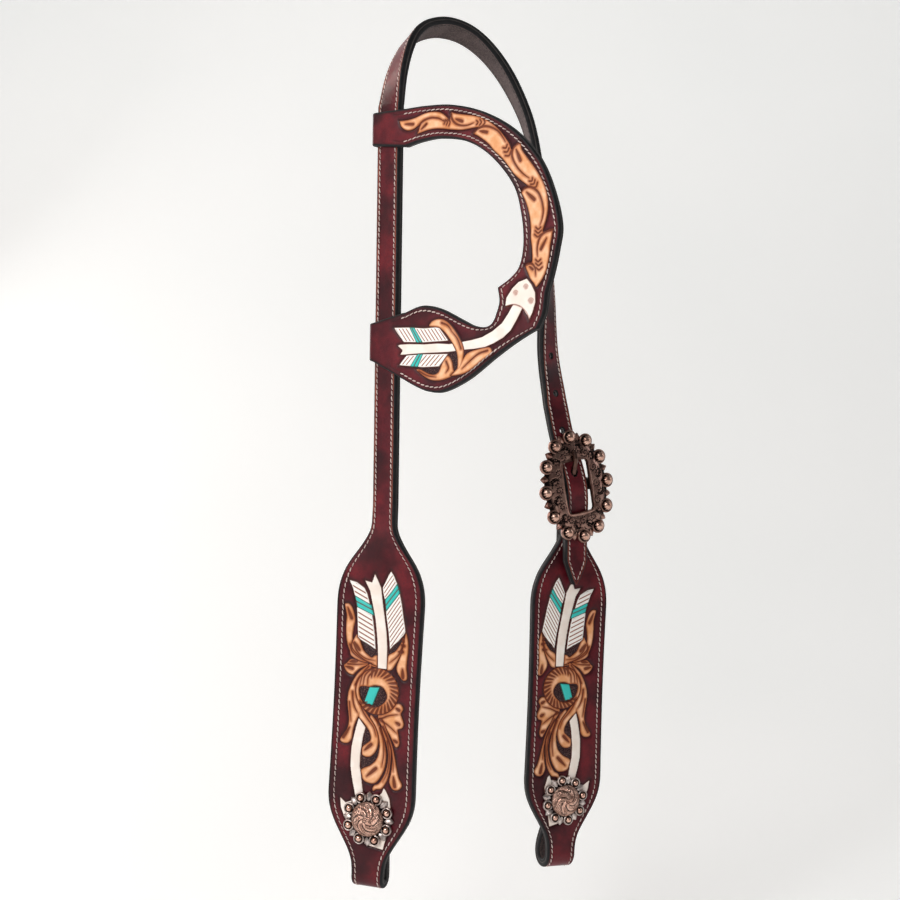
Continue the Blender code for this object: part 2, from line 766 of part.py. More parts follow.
def screw(name, back, made_of):
    """A screw from behind. Its place is on the leather's back and looks out of it."""
    start = FIT_GAP
    top = start + SCREW_HEAD
    profile = [
        (0, -SCREW_BITE), (SCREW_RADIUS, -SCREW_BITE), (SCREW_RADIUS, start),
        (SCREW_HEAD_RADIUS, start), (SCREW_HEAD_RADIUS, top - EDGE_BEVEL),
        (SCREW_HEAD_RADIUS - EDGE_BEVEL, top), (0, top),
    ]
    made = turned(name, [back], profile, 20, made_of)
    slot = screw_slot(back.moved(0, 0, top), SCREW_HEAD_RADIUS, -DRIVE_SLOT_DEPTH)
    boolean(made, slot, "DIFFERENCE")


def looking_back(place):
    return Place(place.at, -place.right, place.up)


def concho(name, cheek, turn, copper, steel):
    front = cheek.moved(0, -CONCHO_DROP, FACE_TOP + FIT_GAP)
    depth = FIT_GAP + 2 * FACE_TOP + TAIL_BACK
    boss = -(depth - BOSS_SHORT)
    profile = [(0, 0), (BOSS_BORE, 0), (BOSS_BORE, boss), (BOSS_RADIUS, boss), (BOSS_RADIUS, 0)]
    profile += [(CONCHO_RING, 0), (CONCHO_RING, CONCHO_RIM)]
    profile += dome_profile(CONCHO_DOME, CONCHO_RISE, CONCHO_RIM, 4)
    profile.append((0, CONCHO_RIM + CONCHO_RISE))
    profile[0] = (0, -BOSS_SHORT)
    profile[1] = (BOSS_BORE, -BOSS_SHORT)
    made = turned(name, [front], profile, 24, copper)
    places = []
    for k in range(CONCHO_STUDS):
        angle = math.tau * k / CONCHO_STUDS + math.radians(turn)
        right, up = CONCHO_RING * math.cos(angle), CONCHO_RING * math.sin(angle)
        places.append(front.moved(right, up, FIT_GAP))
    studs = stud_profile(CONCHO_CUP, CONCHO_BERRY, CONCHO_RIM)
    boolean(made, guide(turned(f"{name}_stud_tool", places, studs, 10, None)), "UNION")
    back = looking_back(cheek.moved(0, -CONCHO_DROP, -TAIL_BACK - FACE_TOP))
    screw(f"{name}_screw", back, steel)


def fold_screws(steel):
    """The two-part screw that closes the fold round the buckle bar."""
    place = right_cheek_place().moved(0, NECK_DROP - FOLD_SCREW_DROP, 0)
    front = place.moved(0, 0, FACE_TOP + FIT_GAP)
    depth = FIT_GAP + 2 * FACE_TOP + PLY_GAP + LINING_PLY
    low = -(depth - BOSS_SHORT)
    profile = [
        (0, -BOSS_SHORT), (BOSS_BORE, -BOSS_SHORT), (BOSS_BORE, low), (BOSS_RADIUS, low),
        (BOSS_RADIUS, 0), (POST_HEAD_RADIUS, 0), (POST_HEAD_RADIUS, POST_HEAD - EDGE_BEVEL),
        (POST_HEAD_RADIUS - EDGE_BEVEL, POST_HEAD), (0, POST_HEAD),
    ]
    turned("fold_screw_post", [front], profile, 20, steel)
    back = looking_back(place.moved(0, 0, -PLY_GAP - LINING_PLY - FACE_TOP))
    screw("fold_screw", back, steel)


def window_point(angle):
    """A point of the buckle's window, a rectangle with round corners."""
    x, y = math.cos(angle), math.sin(angle)
    power = 7
    size = abs(2 * x / WINDOW_WIDTH) ** power + abs(2 * y / WINDOW_HEIGHT) ** power
    return x / size ** (1 / power), y / size ** (1 / power)


def buckle_frame(copper):
    buckle = buckle_place()
    sections = []
    stations = 48
    for k in range(stations):
        angle = math.tau * k / stations
        rim = (BUCKLE_RING_WIDTH / 2 * math.cos(angle), BUCKLE_RING_HEIGHT / 2 * math.sin(angle))
        opening = window_point(math.atan2(rim[1], rim[0]))
        section = []
        for share, face in ((0, 0), (1, 0), (1, 1), (0.5, 1), (0, 1)):
            right, up = (a + (b - a) * share for a, b in zip(opening, rim))
            out = WINDOW_BACK + (RIM_BACK - WINDOW_BACK) * share + BUCKLE_PLATE * face
            section.append(buckle.point(right, up, out))
        sections.append(section)
    frame = loft("buckle_frame", sections, copper, ring=True)
    places = []
    for k in range(BUCKLE_STUDS):
        angle = math.tau * k / BUCKLE_STUDS
        right, up = BUCKLE_RING_WIDTH / 2 * math.cos(angle), BUCKLE_RING_HEIGHT / 2 * math.sin(angle)
        places.append(buckle.moved(right, up, RIM_BACK + FIT_GAP))
    studs = stud_profile(BUCKLE_CUP, BUCKLE_BERRY, BUCKLE_PLATE)
    boolean(frame, guide(turned("buckle_stud_tool", places, studs, 10, None)), "UNION")
    inside = WINDOW_WIDTH / 2 + FIT_GAP
    outline = []
    for k in range(9):
        angle = math.pi * (1 + k / 8)
        outline.append((LUG_RADIUS * math.cos(angle), LUG_RADIUS * math.sin(angle)))
    outline += [(x, WINDOW_BACK + BUCKLE_PLATE / 2) for x in (LUG_RADIUS, -LUG_RADIUS)]
    along_bar = Place(buckle.at, buckle.up, buckle.out)
    bore = circle(BAR_RADIUS + FIT_GAP, 16)
    for name, side in (("left", -1), ("right", 1)):
        ends = (inside * side, (inside + LUG_THICK) * side)
        boolean(frame, prism(f"{name}_lug_tool", along_bar, outline, *ends), "UNION")
        ends = ((inside - CUT_OVERRUN) * side, (inside + BAR_SEAT) * side)
        boolean(frame, prism(f"{name}_bar_seat_tool", along_bar, bore, *ends), "DIFFERENCE")


def buckle_bar(steel):
    buckle = buckle_place()
    half = WINDOW_WIDTH / 2 + BAR_SEAT
    end = half - EDGE_BEVEL / 2
    small = BAR_RADIUS - EDGE_BEVEL / 2
    profile = [
        (0, -half), (small, -half), (BAR_RADIUS, -end), (BAR_RADIUS, end), (small, half), (0, half)
    ]
    turned("buckle_bar", [Place(buckle.at, buckle.up, buckle.out)], profile, 16, steel)


def buckle_tongue(copper):
    """A flat tongue curled round the bar, through the strap and over the frame's top."""
    buckle = buckle_place()
    rise = math.radians(TONGUE_RISE)
    leave = rise + math.pi / 2
    turns = 16
    path = []
    for k in range(turns + 1):
        angle = leave + math.radians(TONGUE_CURL) * (1 - k / turns)
        path.append((TONGUE_CENTRE * math.cos(angle), TONGUE_CENTRE * math.sin(angle)))
    rest = WINDOW_BACK + BUCKLE_PLATE + FIT_GAP + TONGUE_THICK / 2
    top = rest + FIT_GAP
    length = (top - path[-1][1]) / math.sin(rise)
    bend = (path[-1][0] + length * math.cos(rise), top)
    path.append(((path[-1][0] + bend[0]) / 2, (path[-1][1] + bend[1]) / 2))
    path.append((bend[0] - FIT_GAP * 4, bend[1] - FIT_GAP * 4 * math.tan(rise)))
    past = (TONGUE_TIP - bend[0]) / 2
    path.append((bend[0] + past * 0.6, top + FIT_GAP))
    path.append((bend[0] + past * 1.4, top))
    path.append((TONGUE_TIP, rest))
    rows = []
    for i, (up, out) in enumerate(path):
        before = path[max(i - 1, 0)]
        after = path[min(i + 1, len(path) - 1)]
        along = (buckle.up * (after[0] - before[0]) + buckle.out * (after[1] - before[1])).normalized()
        share = max(i - turns, 0) / (len(path) - 1 - turns)
        half = (TONGUE_WIDTH + (TONGUE_TIP_WIDTH - TONGUE_WIDTH) * share) / 2
        middle = buckle.point(0, up, out)
        outward = buckle.right.cross(along)
        rows.append((middle - buckle.right * half, middle + buckle.right * half, outward))
    ply("buckle_tongue", rows, -TONGUE_THICK / 2, TONGUE_THICK / 2, copper)


def build():
    clear_scene()
    leather, lining = face_leather(), lining_leather()
    copper, steel = antique_copper(), plated_steel()
    long_strap(leather, lining)
    right_cheek(leather, lining)
    ear_piece(leather, lining)
    concho("left_concho", left_cheek_place(), LEFT_CONCHO_TURN, copper, steel)
    concho("right_concho", right_cheek_place(), RIGHT_CONCHO_TURN, copper, steel)
    fold_screws(steel)
    buckle_frame(copper)
    buckle_bar(steel)
    buckle_tongue(copper)


build()
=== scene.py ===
# %% [markdown]
# # Western one-ear headstall
# A bridle headstall is the part of a bridle that goes over the horse's head and carries the bit.
# This one is sewn from two plies of leather. Its cheeks are hand tooled with scrolls and
# arrows, an ear piece slides on the left strap, and a berry-edged cart buckle joins the right side.
# Every piece is built in metres in the same frame as the solids, so it lands where they are.

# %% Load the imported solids
import math

import bmesh
import bpy
import numpy as np
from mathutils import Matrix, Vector


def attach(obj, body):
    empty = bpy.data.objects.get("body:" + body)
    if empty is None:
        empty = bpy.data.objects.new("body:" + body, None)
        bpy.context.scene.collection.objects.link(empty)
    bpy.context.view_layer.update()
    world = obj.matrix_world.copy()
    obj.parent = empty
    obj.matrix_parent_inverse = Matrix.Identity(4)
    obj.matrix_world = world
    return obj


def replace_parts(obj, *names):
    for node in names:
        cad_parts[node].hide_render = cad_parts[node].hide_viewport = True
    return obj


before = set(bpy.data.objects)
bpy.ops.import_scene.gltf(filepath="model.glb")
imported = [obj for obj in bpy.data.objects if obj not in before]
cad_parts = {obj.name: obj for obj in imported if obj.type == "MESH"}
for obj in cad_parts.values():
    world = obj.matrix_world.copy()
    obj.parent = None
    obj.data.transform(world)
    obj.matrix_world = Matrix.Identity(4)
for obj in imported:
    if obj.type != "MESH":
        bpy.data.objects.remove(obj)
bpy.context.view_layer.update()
print("nodes:", sorted(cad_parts))

# %% [markdown]
# ## Sizes
# The straps lie on the same lines as the solids, so the same sizes are written down once here.
# Small sizes read best in millimetres, so MM turns them into metres.

# %% Sizes of the leather
MM = 0.001
STRAP_WIDTH = 16.0 * MM
HALF_STRAP = STRAP_WIDTH / 2
HALF_GAP = 0.15 * MM
FACE_PLY, LINING_PLY = 2.6 * MM, 2.3 * MM
FACE_TOP = HALF_GAP + FACE_PLY
LINING_BACK = HALF_GAP + LINING_PLY
TAIL_BACK = 2 * LINING_BACK + 0.3 * MM
FIT_GAP = 0.3 * MM
SEAM = 0.03 * MM
SHOULDER_LENGTH = 41 * MM
PANEL_LENGTH = 113 * MM
TAPER_LENGTH = 41 * MM
TAB_LENGTH = 4.5 * MM
PANEL_WIDTH = 53.4 * MM
PANEL_WAIST = 52.0 * MM
TAB_WIDTH = 19.3 * MM
CONCHO_DROP = SHOULDER_LENGTH + PANEL_LENGTH + 11.5 * MM
TAIL_PAST_CONCHO = 14 * MM
BIT_LOOP_CLOSE = 24 * MM
LEFT_LOOP_GAP, RIGHT_LOOP_GAP = 2.4 * MM, 8.3 * MM
TWIST_ABOVE = 14 * MM
TWIST_BELOW = 28 * MM
SHOULDER_SHARES = ((0, 0), (0.17, 0.20), (0.33, 0.44), (0.5, 0.70), (0.67, 0.87), (0.83, 0.965), (1, 1))
TAPER_SHARES = ((0, 1), (0.17, 0.94), (0.33, 0.79), (0.5, 0.55), (0.67, 0.29), (0.83, 0.08), (1, 0))
print("strap %.1f mm, panel %.1f mm" % (STRAP_WIDTH / MM, PANEL_WIDTH / MM))


# %% Directions and places
def unit(vector):
    vector = np.asarray(vector, float)
    return vector / np.linalg.norm(vector, axis=-1, keepdims=True)


def width_direction(turn, dip=0.0):
    turn, dip = math.radians(turn), math.radians(dip)
    level = math.cos(dip)
    return np.array((math.cos(turn) * level, math.sin(turn) * level, -math.sin(dip)))


def ease(share):
    """0 to 1 with a level start and end."""
    return (1 - np.cos(np.pi * np.clip(share, 0, 1))) / 2


class Place:
    """A spot on the headstall with its own right, up and out directions."""

    def __init__(self, at, right, up):
        self.at, self.right, self.up = np.array(at, float), np.array(right), np.array(up)
        self.out = np.cross(self.right, self.up)

    def point(self, right, up, out):
        return self.at + self.right * right + self.up * up + self.out * out

    def points(self, rows):
        rows = np.asarray(rows, float)
        axes = np.stack([self.right, self.up, self.out])
        return self.at + rows @ axes

    def moved(self, right, up, out):
        return Place(self.point(right, up, out), self.right, self.up)


def hanging_place(at, turn, lean):
    level, upright, lean = width_direction(turn), np.array((0, 0, 1.0)), math.radians(lean)
    up = upright * math.cos(lean) + level * math.sin(lean)
    return Place(at, level * math.cos(lean) - upright * math.sin(lean), up)


STRAP_TOP = (-29.3 * MM, -48 * MM, -56 * MM)
STRAP = hanging_place(STRAP_TOP, -37, 1.0)
STRAIGHT = 227 * MM
LEFT_CHEEK = hanging_place(STRAP.point(0, -STRAIGHT, 0), -20.5, 3.0).moved(0, -14 * MM, 0)
BUCKLE_TURN, BUCKLE_LEAN = 28, -10
BUCKLE = hanging_place((79 * MM, 52.3 * MM, -274.3 * MM), BUCKLE_TURN, BUCKLE_LEAN)
NECK_BACK, NECK_SHIFT, NECK_DROP = 2.6 * MM, 2.4 * MM, 32 * MM
RIGHT_CHEEK = hanging_place(BUCKLE.point(-NECK_SHIFT, -NECK_DROP, -NECK_BACK), 25, 2.3)
EAR_REACH, EAR_HEIGHT = 117 * MM, 160 * MM
EAR = STRAP.moved(0, -163 * MM, FACE_TOP + 0.4 * MM - HALF_GAP)
print("left cheek from", LEFT_CHEEK.at.round(4), "right cheek from", RIGHT_CHEEK.at.round(4))


# %% A smooth curve through knots
def smooth_curve(knots, steps, closed=False):
    """Points on a smooth curve through rows of numbers."""
    rows = np.asarray(knots, float)
    if closed:
        rows = np.concatenate([rows[-1:], rows, rows[:2]])
    else:
        rows = np.concatenate([[2 * rows[0] - rows[1]], rows, [2 * rows[-1] - rows[-2]]])
    t = (np.arange(steps) / steps)[:, None]
    found = []
    for a, b, c, d in zip(rows, rows[1:], rows[2:], rows[3:]):
        turn = (2 * a - 5 * b + 4 * c - d) * t**2 + (3 * b - a - 3 * c + d) * t**3
        found.append((2 * b + (c - a) * t + turn) / 2)
    if not closed:
        found.append(rows[-2:-1])
    return np.concatenate(found)


def evenly(rows, spacing, measure):
    """Rows picked again at an even spacing along measured points."""
    gone = np.concatenate([[0], np.cumsum(np.linalg.norm(np.diff(measure, axis=0), axis=1))])
    wanted = np.linspace(0, gone[-1], max(int(gone[-1] / spacing), 2) + 1)
    return np.stack([np.interp(wanted, gone, rows[:, k]) for k in range(rows.shape[1])], axis=1)


# %% [markdown]
# ## Lines of the straps
# A strap is a flat ribbon on a line through space. Each row of the ribbon has a middle, a
# direction across, an outward direction and a half-width. Rows on a tooled panel also know
# where they are on the leather's own flat pattern, in millimetres, so that the tooling can be
# laid out there, as a maker lays a paper pattern on the leather. OFF_PATTERN is the place of
# rows that carry no tooling.

# %% The ribbon
COARSE, FINE = 24, 120
FINE_STEP, PLAIN_STEP = 0.45 * MM, 1.2 * MM
STRAIGHT_STEP, CROWN_STEP = 1.5 * MM, 1.0 * MM
TOOLED_FROM, TOOLED_TO = 14 * MM, 186 * MM
OFF_PATTERN = 999
BEND_STEPS, TAIL_STEPS = 25, 17
TAIL_CORNER, CORNER_FROM = 0.28, 0.85


class Strip:
    """Rows of a ribbon. pattern and pattern_across place each row on the flat pattern, in mm."""

    def __init__(self, middle, across, half, pattern, pattern_across, fine):
        self.middle = np.array(middle)
        self.half = np.array(half)
        steps = unit(np.diff(self.middle, axis=0))
        along = np.zeros_like(self.middle)
        along[:-1] += steps
        along[1:] += steps
        self.along = unit(along)
        across = np.array(across)
        lean = (across * self.along).sum(1, keepdims=True)
        self.flat = unit(across - self.along * lean)
        self.out = np.cross(self.along, self.flat)
        self.pattern = np.array(pattern, float)
        self.pattern_across = np.array(pattern_across, float)
        self.fine = np.array(fine)

    def part(self, keep):
        made = object.__new__(Strip)
        for key, value in self.__dict__.items():
            setattr(made, key, value[keep])
        return made


print("a ribbon has %d or %d columns" % (COARSE, FINE))


# %% Outline and rows of a cheek
def cheek_half_width(drop):
    half_panel = PANEL_WIDTH / 2
    shoulder = np.interp(drop / SHOULDER_LENGTH, *zip(*SHOULDER_SHARES))
    wide = HALF_STRAP + (half_panel - HALF_STRAP) * shoulder
    share = np.clip((drop - SHOULDER_LENGTH) / PANEL_LENGTH, 0, 1)
    wide = wide - (PANEL_WIDTH - PANEL_WAIST) / 2 * np.sin(np.pi * share)
    low = (drop - SHOULDER_LENGTH - PANEL_LENGTH) / TAPER_LENGTH
    taper = np.interp(low, *zip(*TAPER_SHARES))
    return np.where(low > 0, TAB_WIDTH / 2 + (half_panel - TAB_WIDTH / 2) * taper, wide)


def soft_half_width(drop):
    """The same outline with its corners worn round."""
    reach = np.linspace(-3.5, 3.5, 8) * MM
    return np.mean([cheek_half_width(drop + step) for step in reach], axis=0)


def cheek_rows(cheek, above, loop_gap, first_drop):
    """(middle, across, half, pattern, fine) down a cheek, round its bit loop and up its tail."""
    bottom = SHOULDER_LENGTH + PANEL_LENGTH + TAPER_LENGTH + TAB_LENGTH
    drops = np.concatenate([
        np.arange(first_drop, TOOLED_FROM, PLAIN_STEP), np.arange(TOOLED_FROM, TOOLED_TO, FINE_STEP),
        np.arange(TOOLED_TO, bottom, PLAIN_STEP),
    ])
    rows = []
    for drop in drops:
        turned = ease((drop + TWIST_ABOVE) / (TWIST_ABOVE + TWIST_BELOW))
        across = above + (cheek.right - above) * turned
        fine = TOOLED_FROM < drop < TOOLED_TO
        rows.append((cheek.point(0, -drop, 0), across, soft_half_width(drop), -drop / MM, fine))
    radius = loop_gap / 2 + LINING_BACK
    half = TAB_WIDTH / 2
    for angle in np.linspace(0, math.pi, BEND_STEPS):
        up, out = -bottom - radius * math.sin(angle), -radius * (1 - math.cos(angle))
        rows.append((cheek.point(0, up, out), cheek.right, half, -OFF_PATTERN, False))
    for share in np.linspace(0, 1, TAIL_STEPS)[1:]:
        out = -2 * radius + (2 * radius - TAIL_BACK) * ease(share)
        up = -bottom + BIT_LOOP_CLOSE * share
        rows.append((cheek.point(0, up, out), cheek.right, half, -OFF_PATTERN, False))
    start, end = -bottom + BIT_LOOP_CLOSE, TAIL_PAST_CONCHO - CONCHO_DROP
    for share in np.linspace(0, 1, TAIL_STEPS)[1:]:
        corner = 1 - TAIL_CORNER * max(0, (share - CORNER_FROM) / 0.15) ** 2
        up = start + (end - start) * share
        rows.append((cheek.point(0, up, -TAIL_BACK), cheek.right, half * corner, -OFF_PATTERN, False))
    return rows


# %% The long strap: left cheek, crown and billet in one
HEAD_WIDTH, HEAD_DEPTH, BAR_DROP = 108.3 * MM, 100.3 * MM, 274.3 * MM
CROWN_SHARES = (
    (0.026, 0.055, 0.136, 131, 7), (0.064, 0.135, 0.080, 127, 20), (0.112, 0.245, 0.038, 127, 28),
    (0.180, 0.370, 0.0095, 131, 29), (0.281, 0.495, -0.006, 134, 24), (0.400, 0.605, 0.000, 130, 14),
    (0.515, 0.700, 0.028, 124, 3), (0.622, 0.775, 0.076, 117, -4), (0.714, 0.835, 0.140, 109, -7),
    (0.773, 0.875, 0.203, 102, -7), (0.820, 0.915, 0.292, 94, -6), (0.855, 0.940, 0.403, 83, -4.5),
    (0.869, 0.955, 0.551, 65, -3), (0.874, 0.965, 0.688, 47, -4),
)
BILLET_SHARES = (
    (0.93, -0.02, -1.90, 6), (0.75, -0.13, -0.75, 2), (0.54, -0.16, -0.05, 0), (0.34, -0.07, 0.12, 0),
    (0.16, 0.00, 0.62, 0), (0.00, 0.00, 1.0, 0), (-0.16, -0.02, 0.62, 0), (-0.34, -0.12, 0.12, 0),
    (-0.54, -0.26, 0.0, 0), (-0.76, -0.42, 0.0, 0),
)
RING_WIDTH, RING_HEIGHT = 44.9 * MM, 62.6 * MM
BAR_RADIUS = 1.75 * MM
POST_HEAD = 1.2 * MM
BILLET_LOW = FACE_TOP - NECK_BACK + FIT_GAP + POST_HEAD + FIT_GAP + LINING_BACK
BILLET_CREST = BAR_RADIUS + FIT_GAP + FACE_PLY + FIT_GAP + LINING_BACK
BILLET_TAIL, BILLET_POINT, POINT_WIDTH = 61 * MM, 15 * MM, 2.8 * MM


def long_strap_strip():
    rows = []
    for middle, across, half, level, fine in reversed(cheek_rows(LEFT_CHEEK, STRAP.right, LEFT_LOOP_GAP, -TWIST_ABOVE)):
        rows.append((middle, -across, half, level, fine))
    for drop in np.arange(STRAIGHT - STRAIGHT_STEP, 1 * MM, -STRAIGHT_STEP):
        rows.append((STRAP.point(0, -drop, 0), -STRAP.right, HALF_STRAP, OFF_PATTERN, False))
    knots = [(*STRAP.at, *-STRAP.right)]
    for x, y, z, turn, dip in CROWN_SHARES:
        at = (HEAD_WIDTH * x + STRAP_TOP[0], HEAD_DEPTH * y + STRAP_TOP[1], -BAR_DROP * z)
        knots.append((*at, *width_direction(turn, dip)))
    for up, right, lift, turn in BILLET_SHARES:
        out = BILLET_LOW + (BILLET_CREST - BILLET_LOW) * lift
        at = BUCKLE.point(STRAP_WIDTH * right, RING_HEIGHT * up, out)
        knots.append((*at, *hanging_place(at, BUCKLE_TURN + turn, BUCKLE_LEAN).right))
    end = BUCKLE.point(-0.59 * STRAP_WIDTH, -BILLET_TAIL, BILLET_LOW)
    knots.append((*end, *RIGHT_CHEEK.right))
    curve = smooth_curve(knots, 16)
    for row in evenly(curve, CROWN_STEP, curve[:, :3]):
        share = min(np.linalg.norm(row[:3] - end) / BILLET_POINT, 1)
        half = POINT_WIDTH / 2 + (HALF_STRAP - POINT_WIDTH / 2) * (share ** 0.85)
        rows.append((row[:3], row[3:], half, OFF_PATTERN, False))
    middle, across, half, level, fine = zip(*rows)
    return Strip(middle, across, half, [(0, v) for v in level], [(-1, 0)] * len(rows), fine)


long_strip = long_strap_strip()
print("long strap rows:", len(long_strip.half))

# %% The right cheek: its face ply turns round the buckle bar
FOLD_CLOSE, FOLD_TAIL = 14 * MM, 48 * MM


def right_cheek_strips():
    behind = HALF_GAP * 2 + LINING_PLY
    middle = BUCKLE.point(-NECK_SHIFT / 3, -(FOLD_CLOSE + NECK_DROP) / 2, -NECK_BACK)
    knots = [
        (FOLD_CLOSE - NECK_DROP, *BUCKLE.point(0, -FOLD_CLOSE, -NECK_BACK)),
        ((FOLD_CLOSE - NECK_DROP) / 2, *middle), (0, *RIGHT_CHEEK.at),
        (FOLD_TAIL - NECK_DROP, *RIGHT_CHEEK.point(0, NECK_DROP - FOLD_TAIL, 0)),
    ]
    curve = [row for row in smooth_curve(knots, 12) if row[0] < -0.5 * MM]
    neck = []
    for row in curve:
        turned = ease((row[0] + TWIST_ABOVE) / (TWIST_ABOVE + TWIST_BELOW))
        across = BUCKLE.right + (RIGHT_CHEEK.right - BUCKLE.right) * turned
        neck.append((row[1:], across, HALF_STRAP, OFF_PATTERN, False))
    over = []
    for drop in np.linspace(0, FOLD_TAIL - NECK_DROP, 12):
        turned = ease((drop + TWIST_ABOVE) / (TWIST_ABOVE + TWIST_BELOW))
        across = BUCKLE.right + (RIGHT_CHEEK.right - BUCKLE.right) * turned
        over.append((RIGHT_CHEEK.point(0, -drop, 0), across, HALF_STRAP, OFF_PATTERN, False))
    tail = []
    for at, across, half, level, fine in reversed(neck + over):
        tail.append((at - np.cross(across, RIGHT_CHEEK.up) * behind, across, half, level, fine))
    fold = []
    radius, back = BAR_RADIUS + FIT_GAP - HALF_GAP, NECK_BACK + 2 * HALF_GAP + LINING_PLY
    for share in np.linspace(1, 0, 16)[1:-1]:
        at = BUCKLE.point(0, -FOLD_CLOSE * share, -radius - (back - radius) * ease(share))
        fold.append((at, BUCKLE.right, HALF_STRAP, OFF_PATTERN, False))
    for angle in np.linspace(0, math.pi, 17):
        at = BUCKLE.point(0, radius * math.sin(angle), -radius * math.cos(angle))
        fold.append((at, BUCKLE.right, HALF_STRAP, OFF_PATTERN, False))
    for share in np.linspace(0, 1, 16)[1:-1]:
        at = BUCKLE.point(0, -FOLD_CLOSE * share, radius - (NECK_BACK + radius) * ease(share))
        fold.append((at, BUCKLE.right, HALF_STRAP, OFF_PATTERN, False))
    down = cheek_rows(RIGHT_CHEEK, BUCKLE.right, RIGHT_LOOP_GAP, 0)
    face = tail + fold + neck + down
    lined = [row for row in neck if np.linalg.norm(row[0] - BUCKLE.at) > 16 * MM] + down
    made = []
    for rows in (face, lined):
        middle, across, half, level, fine = zip(*rows)
        made.append(Strip(middle, across, half, [(0, v) for v in level], [(1, 0)] * len(rows), fine))
    return made


right_strip, right_lining_strip = right_cheek_strips()
print("right cheek rows:", len(right_strip.half))

# %% The ear piece: two arms that end in slip loops round the strap
UPPER_EAR = (
    ((0.125, 0.999), (0.130, 0.864)), ((0.250, 1.000), (0.215, 0.876)), ((0.405, 0.991), (0.335, 0.880)),
    ((0.583, 0.954), (0.496, 0.857)), ((0.757, 0.883), (0.638, 0.794)), ((0.895, 0.784), (0.760, 0.693)),
    ((0.975, 0.673), (0.806, 0.594)), ((1.020, 0.553), (0.820, 0.499)), ((1.006, 0.468), (0.801, 0.424)),
    ((0.980, 0.388), (0.755, 0.386)), ((0.954, 0.330), (0.680, 0.353)),
)
MIDDLE_EAR = (((0.954, 0.330), (0.680, 0.353)), ((0.942, 0.262), (0.690, 0.304)), ((0.909, 0.211), (0.665, 0.249)))
LOWER_EAR = (
    ((0.909, 0.211), (0.665, 0.249)), ((0.862, 0.197), (0.643, 0.230)), ((0.775, 0.164), (0.606, 0.222)),
    ((0.662, 0.114), (0.540, 0.229)), ((0.521, 0.046), (0.468, 0.252)), ((0.380, 0.003), (0.362, 0.287)),
    ((0.285, 0.003), (0.277, 0.303)), ((0.207, 0.021), (0.215, 0.301)), ((0.125, 0.048), (0.135, 0.282)),
)
UPPER_LOOP = ((0.999, 0.864), (0.999, 0.880), (0.985, 0.888))
LOWER_LOOP = ((0.048, 0.282), (0.114, 0.249), (0.060, 0.270))
EAR_FIT, LOOP_FLAP, LOOP_CLOSE, EAR_LINING_PLY = 0.4 * MM, 24 * MM, 6.5 * MM, 2.1 * MM
LOOP_FLAT = 6.5 * MM


print("ear piece %.0f x %.0f mm" % (EAR_REACH / MM, EAR_HEIGHT / MM))


# %% The ear piece's slip loops, and the whole piece
def loop_edges(arm, far, flap_edges):
    """Rows of (right, out, outer height, inner height) from the arm round the strap to the flap."""
    side = HALF_STRAP + EAR_FIT - HALF_GAP
    behind = LINING_BACK + FACE_TOP + 2 * (EAR_FIT - HALF_GAP)
    flap = EAR_LINING_PLY + FIT_GAP
    start, corner = EAR_REACH * 0.125, 0.8 * MM
    path = [(right, 0.0) for right in np.arange(start - FINE_STEP, LOOP_FLAT, -FINE_STEP)]
    path += [(HALF_STRAP * share, 0.0) for share in (0.7, 0.5, 0.25, 0.0, -0.25, -0.5, -0.8)]
    bends = np.linspace(0, math.pi / 2, 7)
    path += [(-side + corner - corner * math.sin(b), -corner + corner * math.cos(b)) for b in bends]
    path += [(-side, -behind * share) for share in (0.35, 0.5, 0.65)]
    path += [(-side + corner - corner * math.cos(b), -behind + corner - corner * math.sin(b)) for b in bends]
    path += [(HALF_STRAP * share, -behind) for share in (-0.8, -0.4, 0.0, 0.5, 1.0)]
    for share in np.linspace(0, 1, 8)[1:]:
        path.append((HALF_STRAP + EAR_FIT + LOOP_CLOSE * share, -behind + (behind - flap) * ease(share)))
    path.append((LOOP_FLAP, -flap))
    rows = []
    for right, out in path:
        share = min(max((start - right) / (start + side), 0), 1)
        near = arm if out > -corner else flap_edges
        heights = [EAR_HEIGHT * (a + (b - a) * share) for a, b in zip(near, far)]
        rows.append((right, out, *heights))
    return rows


def ear_strip():
    rows = []
    for right, out, outer, inner in reversed(loop_edges(*UPPER_LOOP)):
        rows.append((right, outer, out, right, inner, out, out == 0 and right > LOOP_FLAT))
    arms = []
    for table, steps in ((UPPER_EAR, 24), (MIDDLE_EAR, 12), (LOWER_EAR, 24)):
        curve = smooth_curve([(*outer, *inner) for outer, inner in table], steps)
        arms.append(curve if not arms else curve[1:])
    arms = np.concatenate(arms) * (EAR_REACH, EAR_HEIGHT, EAR_REACH, EAR_HEIGHT)
    wide = np.concatenate([arms[:, :2], arms[:, 2:] * 0.3], axis=1)
    for a, b, c, d in evenly(arms, FINE_STEP, wide):
        rows.append((a, b, 0, c, d, 0, True))
    for right, out, outer, inner in loop_edges(*LOWER_LOOP):
        rows.append((right, outer, out, right, inner, out, out == 0 and right > LOOP_FLAT))
    rows = np.array(rows, float)
    outer, inner, fine = EAR.points(rows[:, 0:3]), EAR.points(rows[:, 3:6]), rows[:, 6] > 0
    middle, half = (outer + inner) / 2, np.linalg.norm(outer - inner, axis=1) / 2
    flat_outer, flat_inner = rows[:, 0:2] / MM, rows[:, 3:5] / MM
    pattern = (flat_outer + flat_inner) / 2
    across = (flat_outer - flat_inner) / np.linalg.norm(flat_outer - flat_inner, axis=1, keepdims=True)
    made = Strip(middle, outer - inner, half, pattern, across, fine)
    made.flat = unit(outer - inner)
    along = unit(made.along - made.flat * (made.along * made.flat).sum(1, keepdims=True))
    made.out = np.cross(along, made.flat)
    made.out[fine] = EAR.out
    return made


